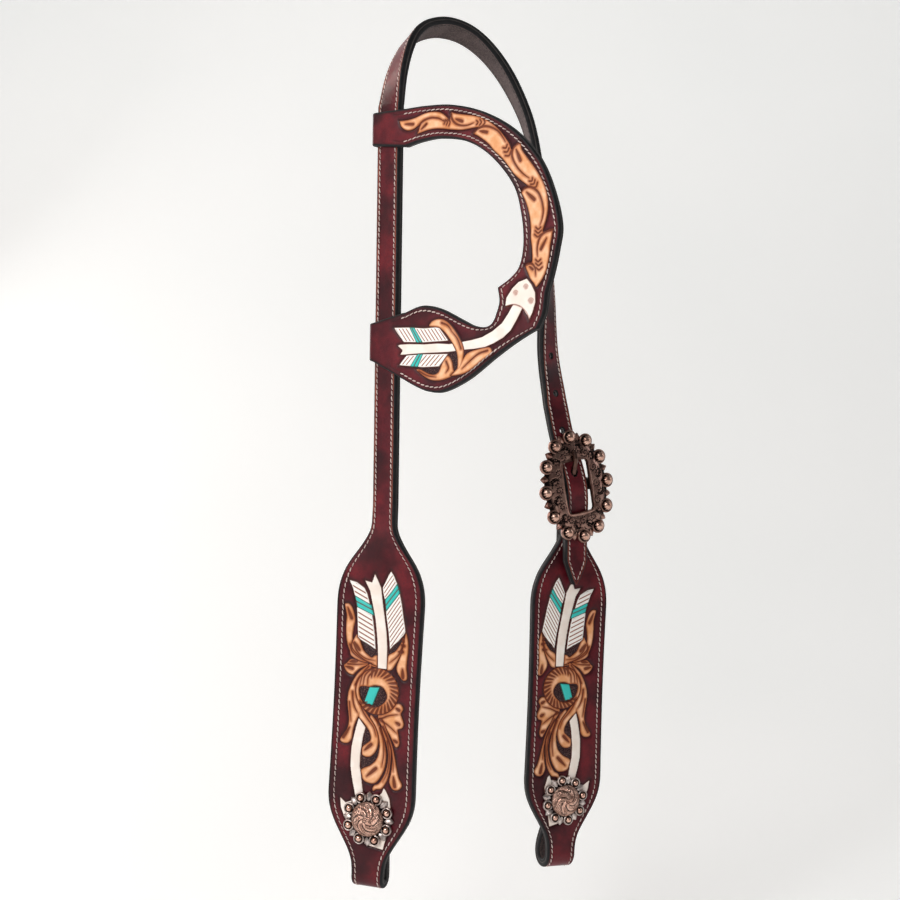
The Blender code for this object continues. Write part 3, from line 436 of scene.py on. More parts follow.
ear = ear_strip()
print("ear piece rows:", len(ear.half))

# %% [markdown]
# ## Tooling
# Western floral tooling is cut with a swivel knife, bevelled on the outside of each cut so that
# the leaf stands proud, and backgrounded with a stippling stamp. The leaves here are left in
# natural tan, the arrows are painted off-white, with turquoise bands on the feathers, and the
# rest is dyed burgundy. Each shape is an outline on the flat pattern. For every point of the
# leather the script measures how far inside each shape it lies. The relief and the paint both
# come from those distances, so the paint always ends in the bottom of its cut.

# %% Distances on the pattern
FAR = -9.0


def inside_by(outline, u, v):
    """How far each point lies inside an outline, in millimetres. Outside is negative."""
    best = np.full(u.shape, 1e9)
    inside = np.zeros(u.shape, bool)
    for (ax, ay), (bx, by) in zip(outline, np.roll(outline, -1, axis=0)):
        dx, dy = bx - ax, by - ay
        t = np.clip(((u - ax) * dx + (v - ay) * dy) / (dx * dx + dy * dy + 1e-12), 0, 1)
        best = np.minimum(best, (u - ax - t * dx) ** 2 + (v - ay - t * dy) ** 2)
        level = by - ay if abs(by - ay) > 1e-12 else 1e-12
        inside ^= ((ay > v) != (by > v)) & (u < (bx - ax) * (v - ay) / level + ax)
    return np.where(inside, np.sqrt(best), -np.sqrt(best))


def beside_line(line, widths, u, v):
    """How far each point lies inside a cut of changing half-width along a line."""
    best = np.full(u.shape, FAR)
    for (ax, ay), (bx, by), wa, wb in zip(line, line[1:], widths, widths[1:]):
        dx, dy = bx - ax, by - ay
        t = np.clip(((u - ax) * dx + (v - ay) * dy) / (dx * dx + dy * dy + 1e-12), 0, 1)
        apart = np.hypot(u - ax - t * dx, v - ay - t * dy)
        best = np.maximum(best, wa + (wb - wa) * t - apart)
    return best


print("a point outside every shape reads", FAR)


# %% The maker's tools
CURVED = ("ground", "leaf_one", "leaf_two")
LAYERS = (*CURVED, "bare", "feather", "teal")
BEVEL_DEPTH, BEVEL_REACH = 0.55, 1.3
KNIFE_DEPTH, KNIFE_WIDTH = 0.22, 0.45
SWELL_HEIGHT, SWELL_REACH = 0.11, 1.2
GROUND_DEPTH, STIPPLE_DEPTH = 0.40, 0.16
MARK_DEPTH, BARB_DEPTH = 0.38, 0.16


class Tooling:
    """What the maker's knife, stamps and brushes leave at points of the flat pattern."""

    def __init__(self, u, v):
        self.u, self.v = u, v
        self.layers = {name: np.full(u.shape, FAR) for name in LAYERS}
        self.mark = np.full(u.shape, FAR)
        self.barb = np.zeros(u.shape)

    def near(self, points, margin=4.0):
        low, high = points.min(0) - margin, points.max(0) + margin
        return (self.u > low[0]) & (self.u < high[0]) & (self.v > low[1]) & (self.v < high[1])

    def shape(self, layer, points):
        """An outline on top of what is there, curved for leaves and straight for painted parts."""
        outline = smooth_curve(points, 5, closed=True) if layer in CURVED else np.array(points, float)
        here = self.near(outline)
        d = inside_by(outline, self.u[here], self.v[here])
        for name, field in self.layers.items():
            if name == layer:
                field[here] = np.maximum(field[here], d)
            else:
                field[here] = np.minimum(field[here], -d)
        self.mark[here] = np.minimum(self.mark[here], np.where(d > 0, -d, 9))

    def cut(self, points, width, taper=True):
        """A swivel knife cut, deepest at its start."""
        line = smooth_curve(points, 5) if len(points) > 2 else np.linspace(*np.array(points, float), 6)
        shares = np.linspace(0, 1, len(line))
        widths = width * np.sqrt(np.clip(1 - shares, 0, 1)) + 0.08 if taper else np.full(len(line), width)
        here = self.near(line)
        self.mark[here] = np.maximum(self.mark[here], beside_line(line, widths, self.u[here], self.v[here]))

    def pear(self, start, end, wide):
        """The hollow of a pear shader: pointed at its start and round at its end."""
        line = np.linspace(start, end, 7)
        widths = 0.15 + (wide - 0.15) * np.sin(np.linspace(0.1, 1.0, 7) * math.pi * 0.62)
        here = self.near(line)
        self.mark[here] = np.maximum(self.mark[here], beside_line(line, widths, self.u[here], self.v[here]))

    def barbs(self, points, direction, pitch):
        """Feather: painted off-white with cut barbs across it, at a pitch along the shaft."""
        outline = np.array(points, float)
        self.shape("feather", outline)
        here = self.near(outline, 1.0)
        slope = np.array(direction, float) / np.hypot(*direction)
        beside = self.u[here] * -slope[1] + self.v[here] * slope[0]
        self.barb[here] = beside / pitch

    def relief(self, stipple):
        """Height of the worked surface against the plain leather, in millimetres.

        Leaves stand in a bevelled hollow, have a knife cut round them and swell a little.
        """
        proud = np.maximum.reduce([self.layers[name] for name in LAYERS[1:]])
        height = np.where(proud < 0, -BEVEL_DEPTH * np.exp(proud / BEVEL_REACH), 0.0)
        for name in LAYERS[1:]:
            d = self.layers[name]
            height -= KNIFE_DEPTH * np.exp(-((d / KNIFE_WIDTH) ** 2))
            height += np.where(d > 0, SWELL_HEIGHT * (1 - np.exp(-np.maximum(d, 0) / SWELL_REACH)), 0)
        ground = np.clip(self.layers["ground"] / 0.5, 0, 1)
        height -= ground * (GROUND_DEPTH + STIPPLE_DEPTH * stipple)
        height -= MARK_DEPTH * np.clip(self.mark / 0.5 + 0.5, 0, 1)
        feather = np.clip(self.layers["feather"] / 0.6, 0, 1)
        height -= feather * BARB_DEPTH * np.clip(1 - np.abs((self.barb % 1) - 0.5) / 0.16, 0, 1)
        return height


# %% Laying out a pattern
def ring_points(centre, radius, start=0, end=360, count=36):
    turns = np.radians(np.linspace(start, end, count, endpoint=False))
    return np.stack([centre[0] + radius * np.cos(turns), centre[1] + radius * np.sin(turns)], axis=1)


def lay(work, shapes):
    for layer, *points in shapes:
        work.shape(layer, points)


def cut_all(work, cuts):
    for width, *points in cuts:
        work.cut(points, width)


def fletch(work, feathers, bands, stripes):
    """Feathers from (barb direction, pitch, points), and turquoise bands with a cut along each."""
    for direction, pitch, *points in feathers:
        work.barbs(points, direction, pitch)
    lay(work, bands)
    for stripe in stripes:
        work.cut(stripe, STRIPE_WIDTH, False)


STRIPE_WIDTH = 0.28
print("tooling layers:", LAYERS)

# %% [markdown]
# ### The cheek's pattern
# A fletched arrow flies down the panel, through a roped ring and behind scrolls of leaves. The
# outlines are laid from back to front, since each one covers what lies under it. Points are
# in millimetres from the middle of the cheek's top, and down is negative. In the cuts, the
# first number is the width of the knife's line.

# %% The cheek's leaves, from back to front
CHEEK_LEAVES = (
    ("ground", (-13, -61), (-9, -64), (-1, -69), (-0.5, -73), (-5, -73.5), (-9, -71), (-12, -66)),
    ("ground", (7, -68), (10, -66), (15.5, -60), (15.5, -64), (12, -70), (7.4, -72.5)),
    ("ground", (-5, -112), (-1, -116), (-1, -120), (-4.5, -124), (-7, -126), (-6.4, -118.4)),
    ("ground", (-7.2, -129), (-1.5, -129.5), (2.4, -126), (4.6, -122), (4.4, -128), (0, -134.5), (-7, -138.5)),
    ("leaf_one", (-21.5, -44.6), (-20.3, -43.6), (-18.4, -43.8), (-16.4, -45.8), (-15, -49.4), (-14.3, -53),
     (-15, -57.4), (-15.4, -63), (-14, -68), (-8, -73), (0.5, -76), (0.5, -79), (-8, -77), (-15.5, -74),
     (-17.2, -70.5), (-18.8, -66.8), (-19.8, -62), (-20.2, -56), (-20, -50.5)),
    ("leaf_two", (-13, -60.8), (-11.6, -62.5), (-9.9, -66), (-8.1, -69.7), (-4.9, -72.3), (-3, -73.2),
     (-1.1, -71.9), (1, -72.5), (1, -78), (-6, -76), (-12, -72.5), (-15.6, -69), (-15.8, -65.7), (-14.5, -63)),
    ("leaf_two", (-13.5, -75.4), (-16.5, -75.7), (-18.5, -77.8), (-20.3, -79.5), (-18.8, -82.5), (-16.5, -84.2),
     (-14.2, -84.5), (-12.7, -83), (-9.9, -80.5), (-5, -78), (-1, -77.2), (-8, -76.6)),
    ("leaf_one", (-3, -77), (-8, -80), (-12, -84), (-15, -89.4), (-16.8, -95), (-17, -100.3), (-16.2, -105.3),
     (-15.6, -110.4), (-16.2, -115), (-18, -118), (-20.5, -122.4), (-18.2, -124.2), (-15, -123.7), (-13, -121),
     (-12.4, -116.4), (-11.2, -111.7), (-9, -107), (-6, -102), (-4, -95), (-4, -86)),
    ("leaf_one", (17, -58.5), (15.5, -61), (13.9, -64.5), (11, -68.5), (7.2, -71), (6.6, -74.3), (6.4, -79.5),
     (9.5, -79.5), (11.9, -76), (14, -72), (15.8, -67), (17, -62)),
    ("leaf_two", (17.3, -57.3), (18.9, -62), (19.3, -67.4), (19, -71.5), (18.7, -77), (19.4, -82), (19, -84.2),
     (17, -84.8), (15.1, -83.3), (12.7, -79.9), (12.5, -76.5), (13.7, -73), (15.3, -68), (16.2, -62)),
    ("leaf_one", (3, -104), (7, -103), (10.7, -101.2), (12.6, -98.6), (15.1, -97.9), (17, -98.9),
     (17.9, -101.1), (16.6, -103.7), (17.3, -105.5), (18.7, -109.4), (17.6, -112), (15.3, -113), (15.8, -116),
     (16.6, -120), (15.9, -122.5), (14.2, -123.2), (12.5, -120.5), (9, -115), (3, -109)),
    ("leaf_one", (9.4, -118), (11.3, -123), (11.7, -130), (11.3, -137), (10.3, -142), (8.3, -146), (6.5, -148),
     (3.5, -148.6), (2, -149.8), (1, -148.5), (2, -146.2), (5, -144.5), (8, -139.5), (9.5, -134), (9.7, -128),
     (8.6, -122.5), (6, -116), (4, -110), (7, -112)),
    ("leaf_two", (5, -108), (9.8, -117), (12.2, -122.2), (14, -128), (15.5, -134.2), (17.2, -140),
     (19.4, -144.2), (17.8, -146.9), (15, -147.7), (12.7, -146.4), (11.2, -142.8), (12, -138), (12.4, -132),
     (11.8, -126), (9.8, -120.5), (6, -113.5), (3, -109)),
    ("leaf_two", (-2, -106), (3, -110.5), (6.2, -117), (8.1, -123.6), (8.9, -130), (8.1, -136), (6, -141),
     (3, -144.8), (-0.7, -145.5), (-4.6, -144.1), (-6, -141), (-6.2, -137.8), (-0.8, -134.8), (2.7, -131),
     (4, -126), (4, -121), (2, -115), (-2, -111)),
    ("leaf_one", (-9, -103), (-6, -104), (-2.5, -108), (1, -112.5), (3.2, -117.5), (3.6, -122.5), (1.9, -127.4),
     (-1.5, -130.4), (-5.8, -130.1), (-6.6, -127), (-6, -124.6), (-3.6, -122.6), (-1.6, -120.6), (-1.6, -118),
     (-3.4, -114.5), (-6.5, -111), (-9.5, -108)),
)
print("cheek leaves:", len(CHEEK_LEAVES))

# %% The cheek's knife cuts and pear shader marks
CHEEK_CUTS = (
    (0.42, (-4.5, -78.5), (-8, -83), (-9.6, -90)),
    (0.42, (-2.6, -79.5), (-6.6, -84), (-7.6, -90)),
    (0.42, (-0.8, -80.5), (-4.4, -84.5), (-4.9, -89.5)),
    (0.5, (-13.9, -94), (-13.4, -99), (-12, -103), (-10, -106)),
    (0.45, (-12.4, -90), (-10.6, -86), (-8, -83)),
    (0.4, (-9, -99), (-7.3, -104), (-4, -108.5), (0, -113), (2, -118)),
    (0.4, (-17, -67), (-15, -71.5), (-9, -75), (-2, -76.8)),
    (0.4, (-14.8, -66), (-12, -71), (-7, -74.2), (-1, -75)),
    (0.4, (-17.8, -78.5), (-12, -78.2), (-6, -77.4)),
    (0.45, (15.5, -66), (13, -71), (8, -75.5)),
    (0.45, (4, -108), (9, -105.6), (15, -104.2)),
    (0.45, (4, -108.6), (9, -111), (14.5, -115)),
    (0.4, (6, -112), (10.6, -121), (13, -131), (13.6, -137)),
    (0.4, (4, -113), (6.6, -120), (7.2, -128), (6.4, -135)),
    (0.35, (9, -120), (10.6, -128), (10.2, -137), (7.6, -143.5)),
    (0.5, (1.5, -108), (2.6, -110), (3, -112)),
    (0.35, (-15.5, -100), (-14.8, -106), (-14, -111)),
)
CHEEK_PEARS = (
    ((-19.4, -46), (-16.6, -52)), ((-14.4, -65.3), (-11, -69.6)), ((-16.5, -77), (-12.4, -76.3)),
    ((-19, -80), (-14.8, -80.8)), ((-14.6, -114.5), (-18.4, -120.7)), ((-4.8, -126.8), (-0.8, -123)),
    ((-2.6, -141.5), (2.8, -136.4)), ((13.8, -139.8), (14.9, -145.4)), ((16.2, -78.2), (16.7, -83)),
    ((14.4, -60.5), (15.8, -62.6)), ((14.6, -64.6), (16.6, -65)), ((13.2, -68.6), (15.8, -68.4)),
)
CHEEK_DROPS = (
    (14.6, -101.4), (14.9, -109.4), (13.9, -119.6),
)
print("cheek cuts:", len(CHEEK_CUTS))

# %% The cheek's arrow: shaft, feathers with their bands, and a head for each side
CHEEK_SHAFTS = (
    ("bare", (-9.8, -29.5), (-5.2, -30.4), (-3.5, -25.3), (-1.6, -28.5), (0.8, -33), (2.5, -43), (4, -50.5),
     (5.5, -58.6), (6.4, -68), (6.5, -79.3), (0.8, -79.3), (0.3, -68), (-0.6, -60.5), (-2.1, -51), (-4.2, -43),
     (-6.2, -35.5)),
    ("bare", (-9.4, -108.4), (-4.7, -113.7), (-5.9, -118.4), (-6.6, -123.5), (-7.2, -130), (-7.2, -136),
     (-6.2, -141), (-5, -148), (-3, -158), (-8, -158), (-10, -151), (-10.8, -148), (-12.1, -143), (-13.2, -137),
     (-13.3, -131), (-13, -125), (-12, -119.5), (-10.9, -114)),
)
CHEEK_FEATHERS = (
    ((1, -0.45), 2.4, (-19.5, -30), (-14.5, -31), (-9.5, -34), (-7.4, -37.5), (-5.4, -44), (-3.2, -52),
     (-1.8, -60), (-0.8, -68.8), (-6, -66), (-10.5, -64), (-12.4, -62.4), (-12.7, -58), (-13.2, -52),
     (-13.8, -45.7), (-15.2, -40), (-17, -34.5)),
    ((1, 1.55), 1.75, (6.3, -23), (8.5, -26), (10.4, -30), (12.3, -35.3), (14, -41.8), (15.4, -49), (16.5, -54),
     (17, -57), (15.7, -59.3), (12.6, -63), (9.8, -65.5), (7.8, -68.2), (7.3, -64), (6.5, -58.5), (5, -51),
     (4.2, -46.5), (3.2, -40), (2, -36), (1.5, -33), (2.9, -30), (4.8, -25.7)),
)
CHEEK_BANDS = (
    ("teal", (-15.4, -39), (-4.9, -43.6), (-3, -49.3), (-13.6, -45.2)),
    ("teal", (10.4, -30.3), (12.3, -35.2), (8.5, -40.5), (4.3, -46.3), (3.4, -39.8), (7, -35.5)),
)
CHEEK_STRIPES = (
    ((-14.6, -42), (-3.5, -46.3)), ((11.3, -33), (4, -43)),
)
LEFT_HEAD = (
    (-3, -152), (-8, -155), (-15, -158), (-18.7, -155.2), (-18, -161), (-15.8, -166), (-12, -172), (0, -181),
    (9.5, -182.5), (12, -172), (13.5, -160), (12, -152.5), (9.7, -148.5), (8.1, -146.8), (7, -150), (4, -153),
)
RIGHT_HEAD = (
    (-3, -150), (-8, -152), (-16, -154.5), (-21, -151.2), (-19.8, -157.5), (-16, -164), (-10, -172),
    (0, -177.5), (7.2, -179.6), (8.4, -172), (9.6, -163), (11.6, -155), (9.7, -148.5), (8.1, -146.8), (7, -150),
    (4, -151.5),
)
print("arrow feathers:", len(CHEEK_FEATHERS))

# %% The roped ring, and the whole cheek
RING_CENTRE, RING_RADIUS = (1.2, -92.5), 13.3
RING_MIDDLE = (
    ("ground", (-9.5, -91), (-6.5, -90.3), (-3.5, -90.4), (0, -89.3), (4.5, -90), (7.2, -94), (6.4, -97.5),
     (3, -100.7), (-1, -101.8), (-5.5, -100.7), (-8.4, -97.7), (-9.7, -94)),
    ("teal", (-3.7, -90.5), (2.7, -90), (-1.3, -100.6), (-6.6, -99.7)),
)


def rope_ring(work):
    """A raised ring with strands like a rope's, round a sunk middle with the arrow's band in it."""
    work.shape("leaf_two", ring_points(RING_CENTRE, RING_RADIUS))
    lay(work, RING_MIDDLE)
    for angle in range(-142, 118, 13):
        outer = ring_points(RING_CENTRE, RING_RADIUS - 0.5, angle, angle + 1, 1)[0]
        inner = ring_points(RING_CENTRE, RING_RADIUS - 4.6, angle + 11, angle + 12, 1)[0]
        work.pear(inner, outer, 0.75)


def tool_cheek(work, head=LEFT_HEAD):
    lay(work, CHEEK_LEAVES)
    rope_ring(work)
    cut_all(work, CHEEK_CUTS)
    for start, end in CHEEK_PEARS:
        work.pear(start, end, 0.95)
    for u, v in CHEEK_DROPS:
        work.pear((u - 1.2, v + 0.6), (u + 0.8, v - 0.4), 0.9)
    lay(work, CHEEK_SHAFTS)
    fletch(work, CHEEK_FEATHERS, CHEEK_BANDS, CHEEK_STRIPES)
    work.shape("bare", head)


MIRROR_SHIFT = -2.5


def tool_right_cheek(work):
    """The right cheek carries the same pattern turned over, so that both arrows fly forward."""
    u, v = work.u, work.v
    work.u, work.v = -(u - MIRROR_SHIFT), v - MIRROR_SHIFT
    tool_cheek(work, RIGHT_HEAD)
    work.u, work.v = u, v


print("the cheek's pattern is ready")

# %% [markdown]
# ### The ear piece's pattern
# Below, an arrow with a bent shaft and a loop of leaf over it. Above, a vine whose leaves have a
# cut vein each, pear marks at their roots, and rows of short stop cuts.

# %% The ear's arrow and lower leaves
EAR_LEAVES = (
    ("ground", (28, 14.2), (41.5, 14.2), (43, 17), (41.5, 11), (37, 9.6), (31, 10.8)),
    ("ground", (47, 22), (54, 22), (54, 14), (51.5, 11), (49.5, 12)),
    ("leaf_one", (24.7, 13), (28, 10.5), (32, 8.2), (36, 6.8), (42, 6.6), (48.5, 8.2), (52, 9.8), (51, 13),
     (49.9, 17.4), (47.1, 20.4), (44.2, 18.2), (42.3, 14.8), (40.6, 11.5), (37.6, 10.1), (33.5, 10.7),
     (28, 13)),
    ("leaf_two", (49, 9.2), (54, 9.4), (59, 10.5), (64, 13), (70, 17), (76.2, 20.2), (77, 22.4), (74.6, 24.6),
     (66, 23.4), (60.4, 21.6), (57.6, 18.6), (55, 14.6), (52, 12)),
)
EAR_FEATHERS = (
    ((1, -1.25), 1.95, (8.4, 36.8), (20, 36.7), (30, 35.9), (40.3, 36.4), (47.5, 28.5), (30, 27.9),
     (15.7, 28.4), (11, 33.5)),
    ((1, 0.95), 2.05, (12.4, 15.4), (17.9, 21), (30, 21.5), (47.2, 21.4), (41, 14.4), (30, 14), (20, 14.8)),
)
EAR_BANDS = (
    ("teal", (19.8, 36.6), (22.9, 36.4), (28.9, 28.1), (24.9, 28)),
    ("teal", (25.8, 21.6), (29.3, 21.5), (25.8, 14.4), (20.6, 14.7)),
)
EAR_STRIPES = (
    ((21.5, 36), (27, 28.3)), ((27.6, 21.2), (23.4, 14.9)),
)
EAR_ARROW = (
    ("bare", (13.2, 21.3), (14.8, 23.9), (11.3, 26.5), (13, 27.2), (20, 27.4), (30, 27), (40, 27.3), (48, 26.8),
     (58, 28), (63, 28.7), (70, 30.1), (77, 33.2), (83, 37.2), (87, 42.2), (90.5, 47.4), (96.8, 45.4),
     (93.1, 39), (89, 33), (84, 29.2), (78, 26.4), (72, 24.4), (65, 23.6), (58.5, 23.3), (47, 22.2), (30, 21.9),
     (15, 21.2)),
    ("leaf_two", (33.7, 36.8), (35, 39.2), (38, 40.6), (42, 40.8), (46.4, 39.1), (50.4, 35.6), (54, 31.2),
     (57.2, 25.8), (58, 21), (56.2, 14), (53.6, 12), (53.7, 16.3), (53.2, 20.8), (51.4, 24.8), (48.3, 29),
     (44.4, 33.3), (40, 36)),
    ("bare", (99, 60.6), (93.6, 59), (89.4, 55.6), (85.8, 50.8), (85, 46.2), (88, 46.6), (91, 46.9), (94.3, 46),
     (97, 43.9), (99.6, 40.6), (100.7, 38.3), (102.9, 42), (104.8, 47.7), (104.6, 52.9), (102, 57.4)),
)
EAR_CUTS = (
    (0.5, (42.5, 38.5), (46.5, 37), (49.4, 34)),
    (0.45, (46, 17), (47.6, 13.6), (46, 11)),
    (0.45, (74, 22.6), (68, 21), (62, 17), (57, 13)),
    (0.4, (27, 12), (33, 9.4), (39, 8.6)),
    (0.35, (56, 24), (53.4, 29.5), (48.5, 34.6)),
)
HEAD_CUT = (
    (85.6, 46.1), (88.5, 46.7), (91, 46.9), (93.8, 46.3), (96.6, 44.8), (99.2, 42.3), (101, 39),
)
HEAD_DOTS = (
    (92, 53, 1.5), (98.6, 56, 1.5), (101.9, 48.4, 1.7),
)
print("ear cuts:", len(EAR_CUTS))

# %% The ear's vine: its outline, veins, pear marks (start, end, width) and stop cuts (place, turn, length)
VINE = (
    ("leaf_one", (10.4, 153.1), (11, 153.2), (16.5, 153.2), (21.3, 153.8), (24.6, 154.7), (28.9, 155.8),
     (33.2, 156.1), (37.5, 155.6), (40.3, 154.7), (42.7, 153.2), (44.8, 151.3), (46, 150.2), (46.3, 152.2),
     (46.5, 154.4), (47, 154.5), (49.9, 153.5), (54.6, 152.5), (59.4, 151.6), (64.1, 150.5), (68.5, 148.9),
     (72.8, 146.8), (77.3, 143.6), (80.9, 140.2), (84.4, 136.2), (86.6, 133.2), (87.8, 130.2), (88.6, 131.2),
     (90.3, 132.6), (93.3, 134), (93.8, 133.6), (94.6, 129.8), (97.3, 126.2), (100.9, 122), (104.4, 117.7),
     (107.3, 113.4), (109.8, 109), (111.4, 104), (112, 99), (111.7, 94.7), (110.8, 91), (109.4, 87.2),
     (109, 84.9), (111.8, 85.6), (115, 86), (115.2, 85.4), (114.7, 81.9), (113.8, 77.6), (113.4, 73.3),
     (112.7, 69), (111.4, 64), (109, 59.7), (106.2, 56.4), (104.8, 55.7), (103.5, 57.6), (101.3, 59.9),
     (99.7, 63), (98, 66.6), (98.3, 68.2), (100.7, 68.9), (102, 69.4), (102.2, 72), (101.7, 77.6), (101, 81.9),
     (101, 86.1), (100.6, 90.4), (99.8, 94.7), (98.4, 99), (96.4, 103.3), (94.2, 106.8), (94.6, 107.6),
     (96.4, 108.9), (98.7, 109.5), (97.3, 110.8), (93.7, 113.4), (89.4, 117), (85.9, 121.2), (82.3, 125.3),
     (78.9, 128.2), (75.9, 130.8), (73, 134), (69.4, 136.8), (65.4, 139.4), (62.2, 141), (62.3, 141.7),
     (64.2, 143.1), (65, 144.1), (59.4, 143.9), (54.6, 143.7), (49.9, 144.2), (45.1, 145), (40.3, 145.8),
     (35.6, 146.2), (30.8, 145.9), (27.6, 145.3), (23.7, 144.6), (23.5, 145.1), (24.2, 147.4), (24.9, 149.4),
     (23.2, 148.6), (21.3, 147.6), (18.4, 147), (15.6, 147.3), (12.9, 148.7), (11.3, 150.4)),
)
VINE_VEINS = (
    ((23.8, 146.2), (24.6, 148.6), (26.2, 150.5), (28.9, 151.9), (33.2, 152.6), (37.5, 152), (40.3, 150.9),
     (42.2, 149.6)),
    ((46.8, 153.8), (47.4, 151.2), (48.9, 148.9), (51.3, 147.2), (54.6, 146.2), (58.4, 146), (62.7, 146.9)),
    ((62.6, 141.5), (64.2, 142.9), (66.6, 143.9), (70.1, 144.3), (74.4, 143.3), (78.7, 141), (81.6, 137.8),
     (84, 134.4)),
    ((93.2, 133.4), (90.5, 132.2), (88.6, 130), (88.2, 127.4), (88.9, 125), (90.3, 122.4), (93, 119),
     (96.6, 115.8), (99.8, 113.8)),
    ((94.7, 107.3), (96.9, 108.8), (99.8, 109.2), (103, 108), (105.9, 105.4), (108, 101.1), (109, 96.1),
     (108.4, 91.9), (107, 88.2)),
    ((114.6, 85.6), (111.4, 84.9), (108.4, 83.3), (106.4, 80.4), (105.5, 76.1), (105.8, 71.8)),
    ((98.6, 68), (100.9, 68.5), (103, 67.6), (104.4, 65.2), (104.8, 61.6)),
)
VINE_PEARS = (
    ((14.8, 150.9), (20.6, 150.3), 0.75), ((26.3, 146.9), (30, 149.5), 0.7),
    ((50.3, 150.2), (54.8, 148.5), 0.85), ((66.8, 142), (71.6, 140.9), 0.8), ((91, 129.8), (93.8, 123.8), 0.95),
    ((98.2, 106.4), (103.2, 102.2), 0.95), ((111.3, 81.2), (107.9, 75.6), 0.8),
    ((100.6, 66.8), (102.8, 65.2), 0.7),
)
STOP_CUTS = (
    (42.5, 149.4, 15, 1.0), (44, 149.1, 15, 1.5), (45.6, 148.9, 15, 1.9), (65, 146.8, 0, 1.1),
    (67.1, 146.7, -5, 1.5), (69.3, 146.4, -10, 1.9), (84, 131.8, -60, 1.5), (84.9, 129.7, -60, 1.8),
    (86, 127.7, -60, 2.1), (101.1, 112.6, -52, 1.3), (102.4, 111.1, -52, 1.7), (103.7, 109.5, -52, 2.1),
    (106, 86.8, -90, 1.5), (106, 85, -90, 1.9), (105.8, 83.1, -90, 2.1), (106.2, 69.7, -90, 1.6),
    (106.5, 67.8, -90, 1.9), (106.8, 65.6, -90, 2.1),
)
print("vine veins:", len(VINE_VEINS))


# %% The whole ear piece
def head_dots(work):
    """Seeder dots on the arrowhead, each with a dark cut crescent along its upper side, which is
    painted shade of the dot's hollow.
    """
    for *centre, radius in HEAD_DOTS:
        dot = (radius - np.hypot(work.u - centre[0], work.v - centre[1])) * 0.45 - 0.16
        work.mark = np.maximum(work.mark, dot)
        # Painted shade: a dark cut along the upper half of the dot's rim
        work.cut(ring_points(centre, radius, 20, 200, 7), 0.25, False)


def stop_cuts(work):
    """Short bent cuts in rows."""
    for u, v, turn, tall in STOP_CUTS:
        across = np.array((-math.sin(math.radians(turn)), math.cos(math.radians(turn))))
        along = np.array((across[1], -across[0]))
        middle = np.array((u, v))
        ends = [middle + side * across * tall - along * 0.5 for side in (-1, 1)]
        work.cut([ends[0], middle + along * tall * 0.4, ends[1]], 0.42, False)


def tool_ear(work):
    lay(work, EAR_LEAVES)
    fletch(work, EAR_FEATHERS, EAR_BANDS, EAR_STRIPES)
    lay(work, EAR_ARROW)
    cut_all(work, EAR_CUTS)
    work.cut(HEAD_CUT, 0.36, False)
    head_dots(work)
    lay(work, VINE)
    for vein in VINE_VEINS:
        work.cut(vein, 0.66)
    for start, end, wide in VINE_PEARS:
        work.pear(start, end, wide)
    stop_cuts(work)


print("the ear piece's pattern is ready")

# %% [markdown]
# ## From rows to leather
# A ply is a closed skin: a worked top, edges rounded and burnished as a maker does with an edge
# slicker, and a plain underside. Tooled rows have 120 columns, about 0.45 mm apart, so that the
# knife cuts are real grooves, and plain rows need only 24. Where the two meet, one wide cell
# of the coarse row is joined to five of the fine one. The value rim says how many millimetres a
# point lies inside the edge. It is negative down the edge and lowest underneath.

# %% Meshes and one row across a ply
EDGE_COLUMNS = 5
ROUND_ACROSS, ROUND_DOWN, NOTCH = 1.1 * MM, 1.5 * MM, 0.18 * MM
RIM_EDGE, RIM_NOTCH, RIM_UNDER = -1.6, -3.0, -3.4
rng = np.random.default_rng(7)


def stitch_inset(strip):
    return np.interp(strip.half / MM, (8, 14, 27), (2.5, 3.3, 4.1)) * MM


def mesh_piece(name, points, faces, materials, smooth_angle=None):
    """A smooth mesh object whose faces all point outwards."""
    mesh = bpy.data.meshes.new(name)
    mesh.from_pydata(np.asarray(points).tolist(), [], faces)
    whole = bmesh.new()
    whole.from_mesh(mesh)
    bmesh.ops.recalc_face_normals(whole, faces=whole.faces)
    whole.to_mesh(mesh)
    whole.free()
    made = bpy.data.objects.new(name, mesh)
    bpy.context.scene.collection.objects.link(made)
    for material in materials:
        mesh.materials.append(material)
    mesh.shade_smooth()
    if smooth_angle:
        mesh.set_sharp_from_angle(angle=math.radians(smooth_angle))
    return made


def give(made, name, values):
    made.data.attributes.new(name, "FLOAT", "POINT").data.foreach_set("value", np.asarray(values, np.float32))


def row_section(half, wide, inner, outer):
    """(offset, level, rim) of the points of one row, across its top and back underneath."""
    sign = 1 if outer > inner else -1
    angles = np.linspace(0, math.pi / 2, EDGE_COLUMNS)
    rx = min(ROUND_ACROSS, half * 0.5)
    corner = half - rx * (1 - np.cos(angles))
    drop = ROUND_DOWN * (1 - np.sin(angles))
    inside = np.linspace(-(half - rx), half - rx, wide + 1)[1:-1]
    under = np.linspace(half - NOTCH, -(half - NOTCH), COARSE + 1)
    offset = np.concatenate([-corner, inside, corner[::-1], [half], under, [-half]])
    notch = [inner + sign * NOTCH]
    level = np.concatenate([
        outer - sign * drop, np.full(wide - 1, outer), outer - sign * drop[::-1],
        notch, np.full(COARSE + 1, inner), notch,
    ])
    edge = np.linspace(RIM_EDGE, rx / MM * 0.9, EDGE_COLUMNS)
    rim = np.concatenate([
        edge, half / MM - np.abs(inside) / MM, np.linspace(rx / MM * 0.9, RIM_EDGE, EDGE_COLUMNS),
        [RIM_NOTCH], np.full(COARSE + 1, RIM_UNDER), [RIM_NOTCH],
    ])
    return offset, level, rim


# %% Faces between two rows, and the walls of holes
TOP, UNDER, EDGE = 0, 1, 2


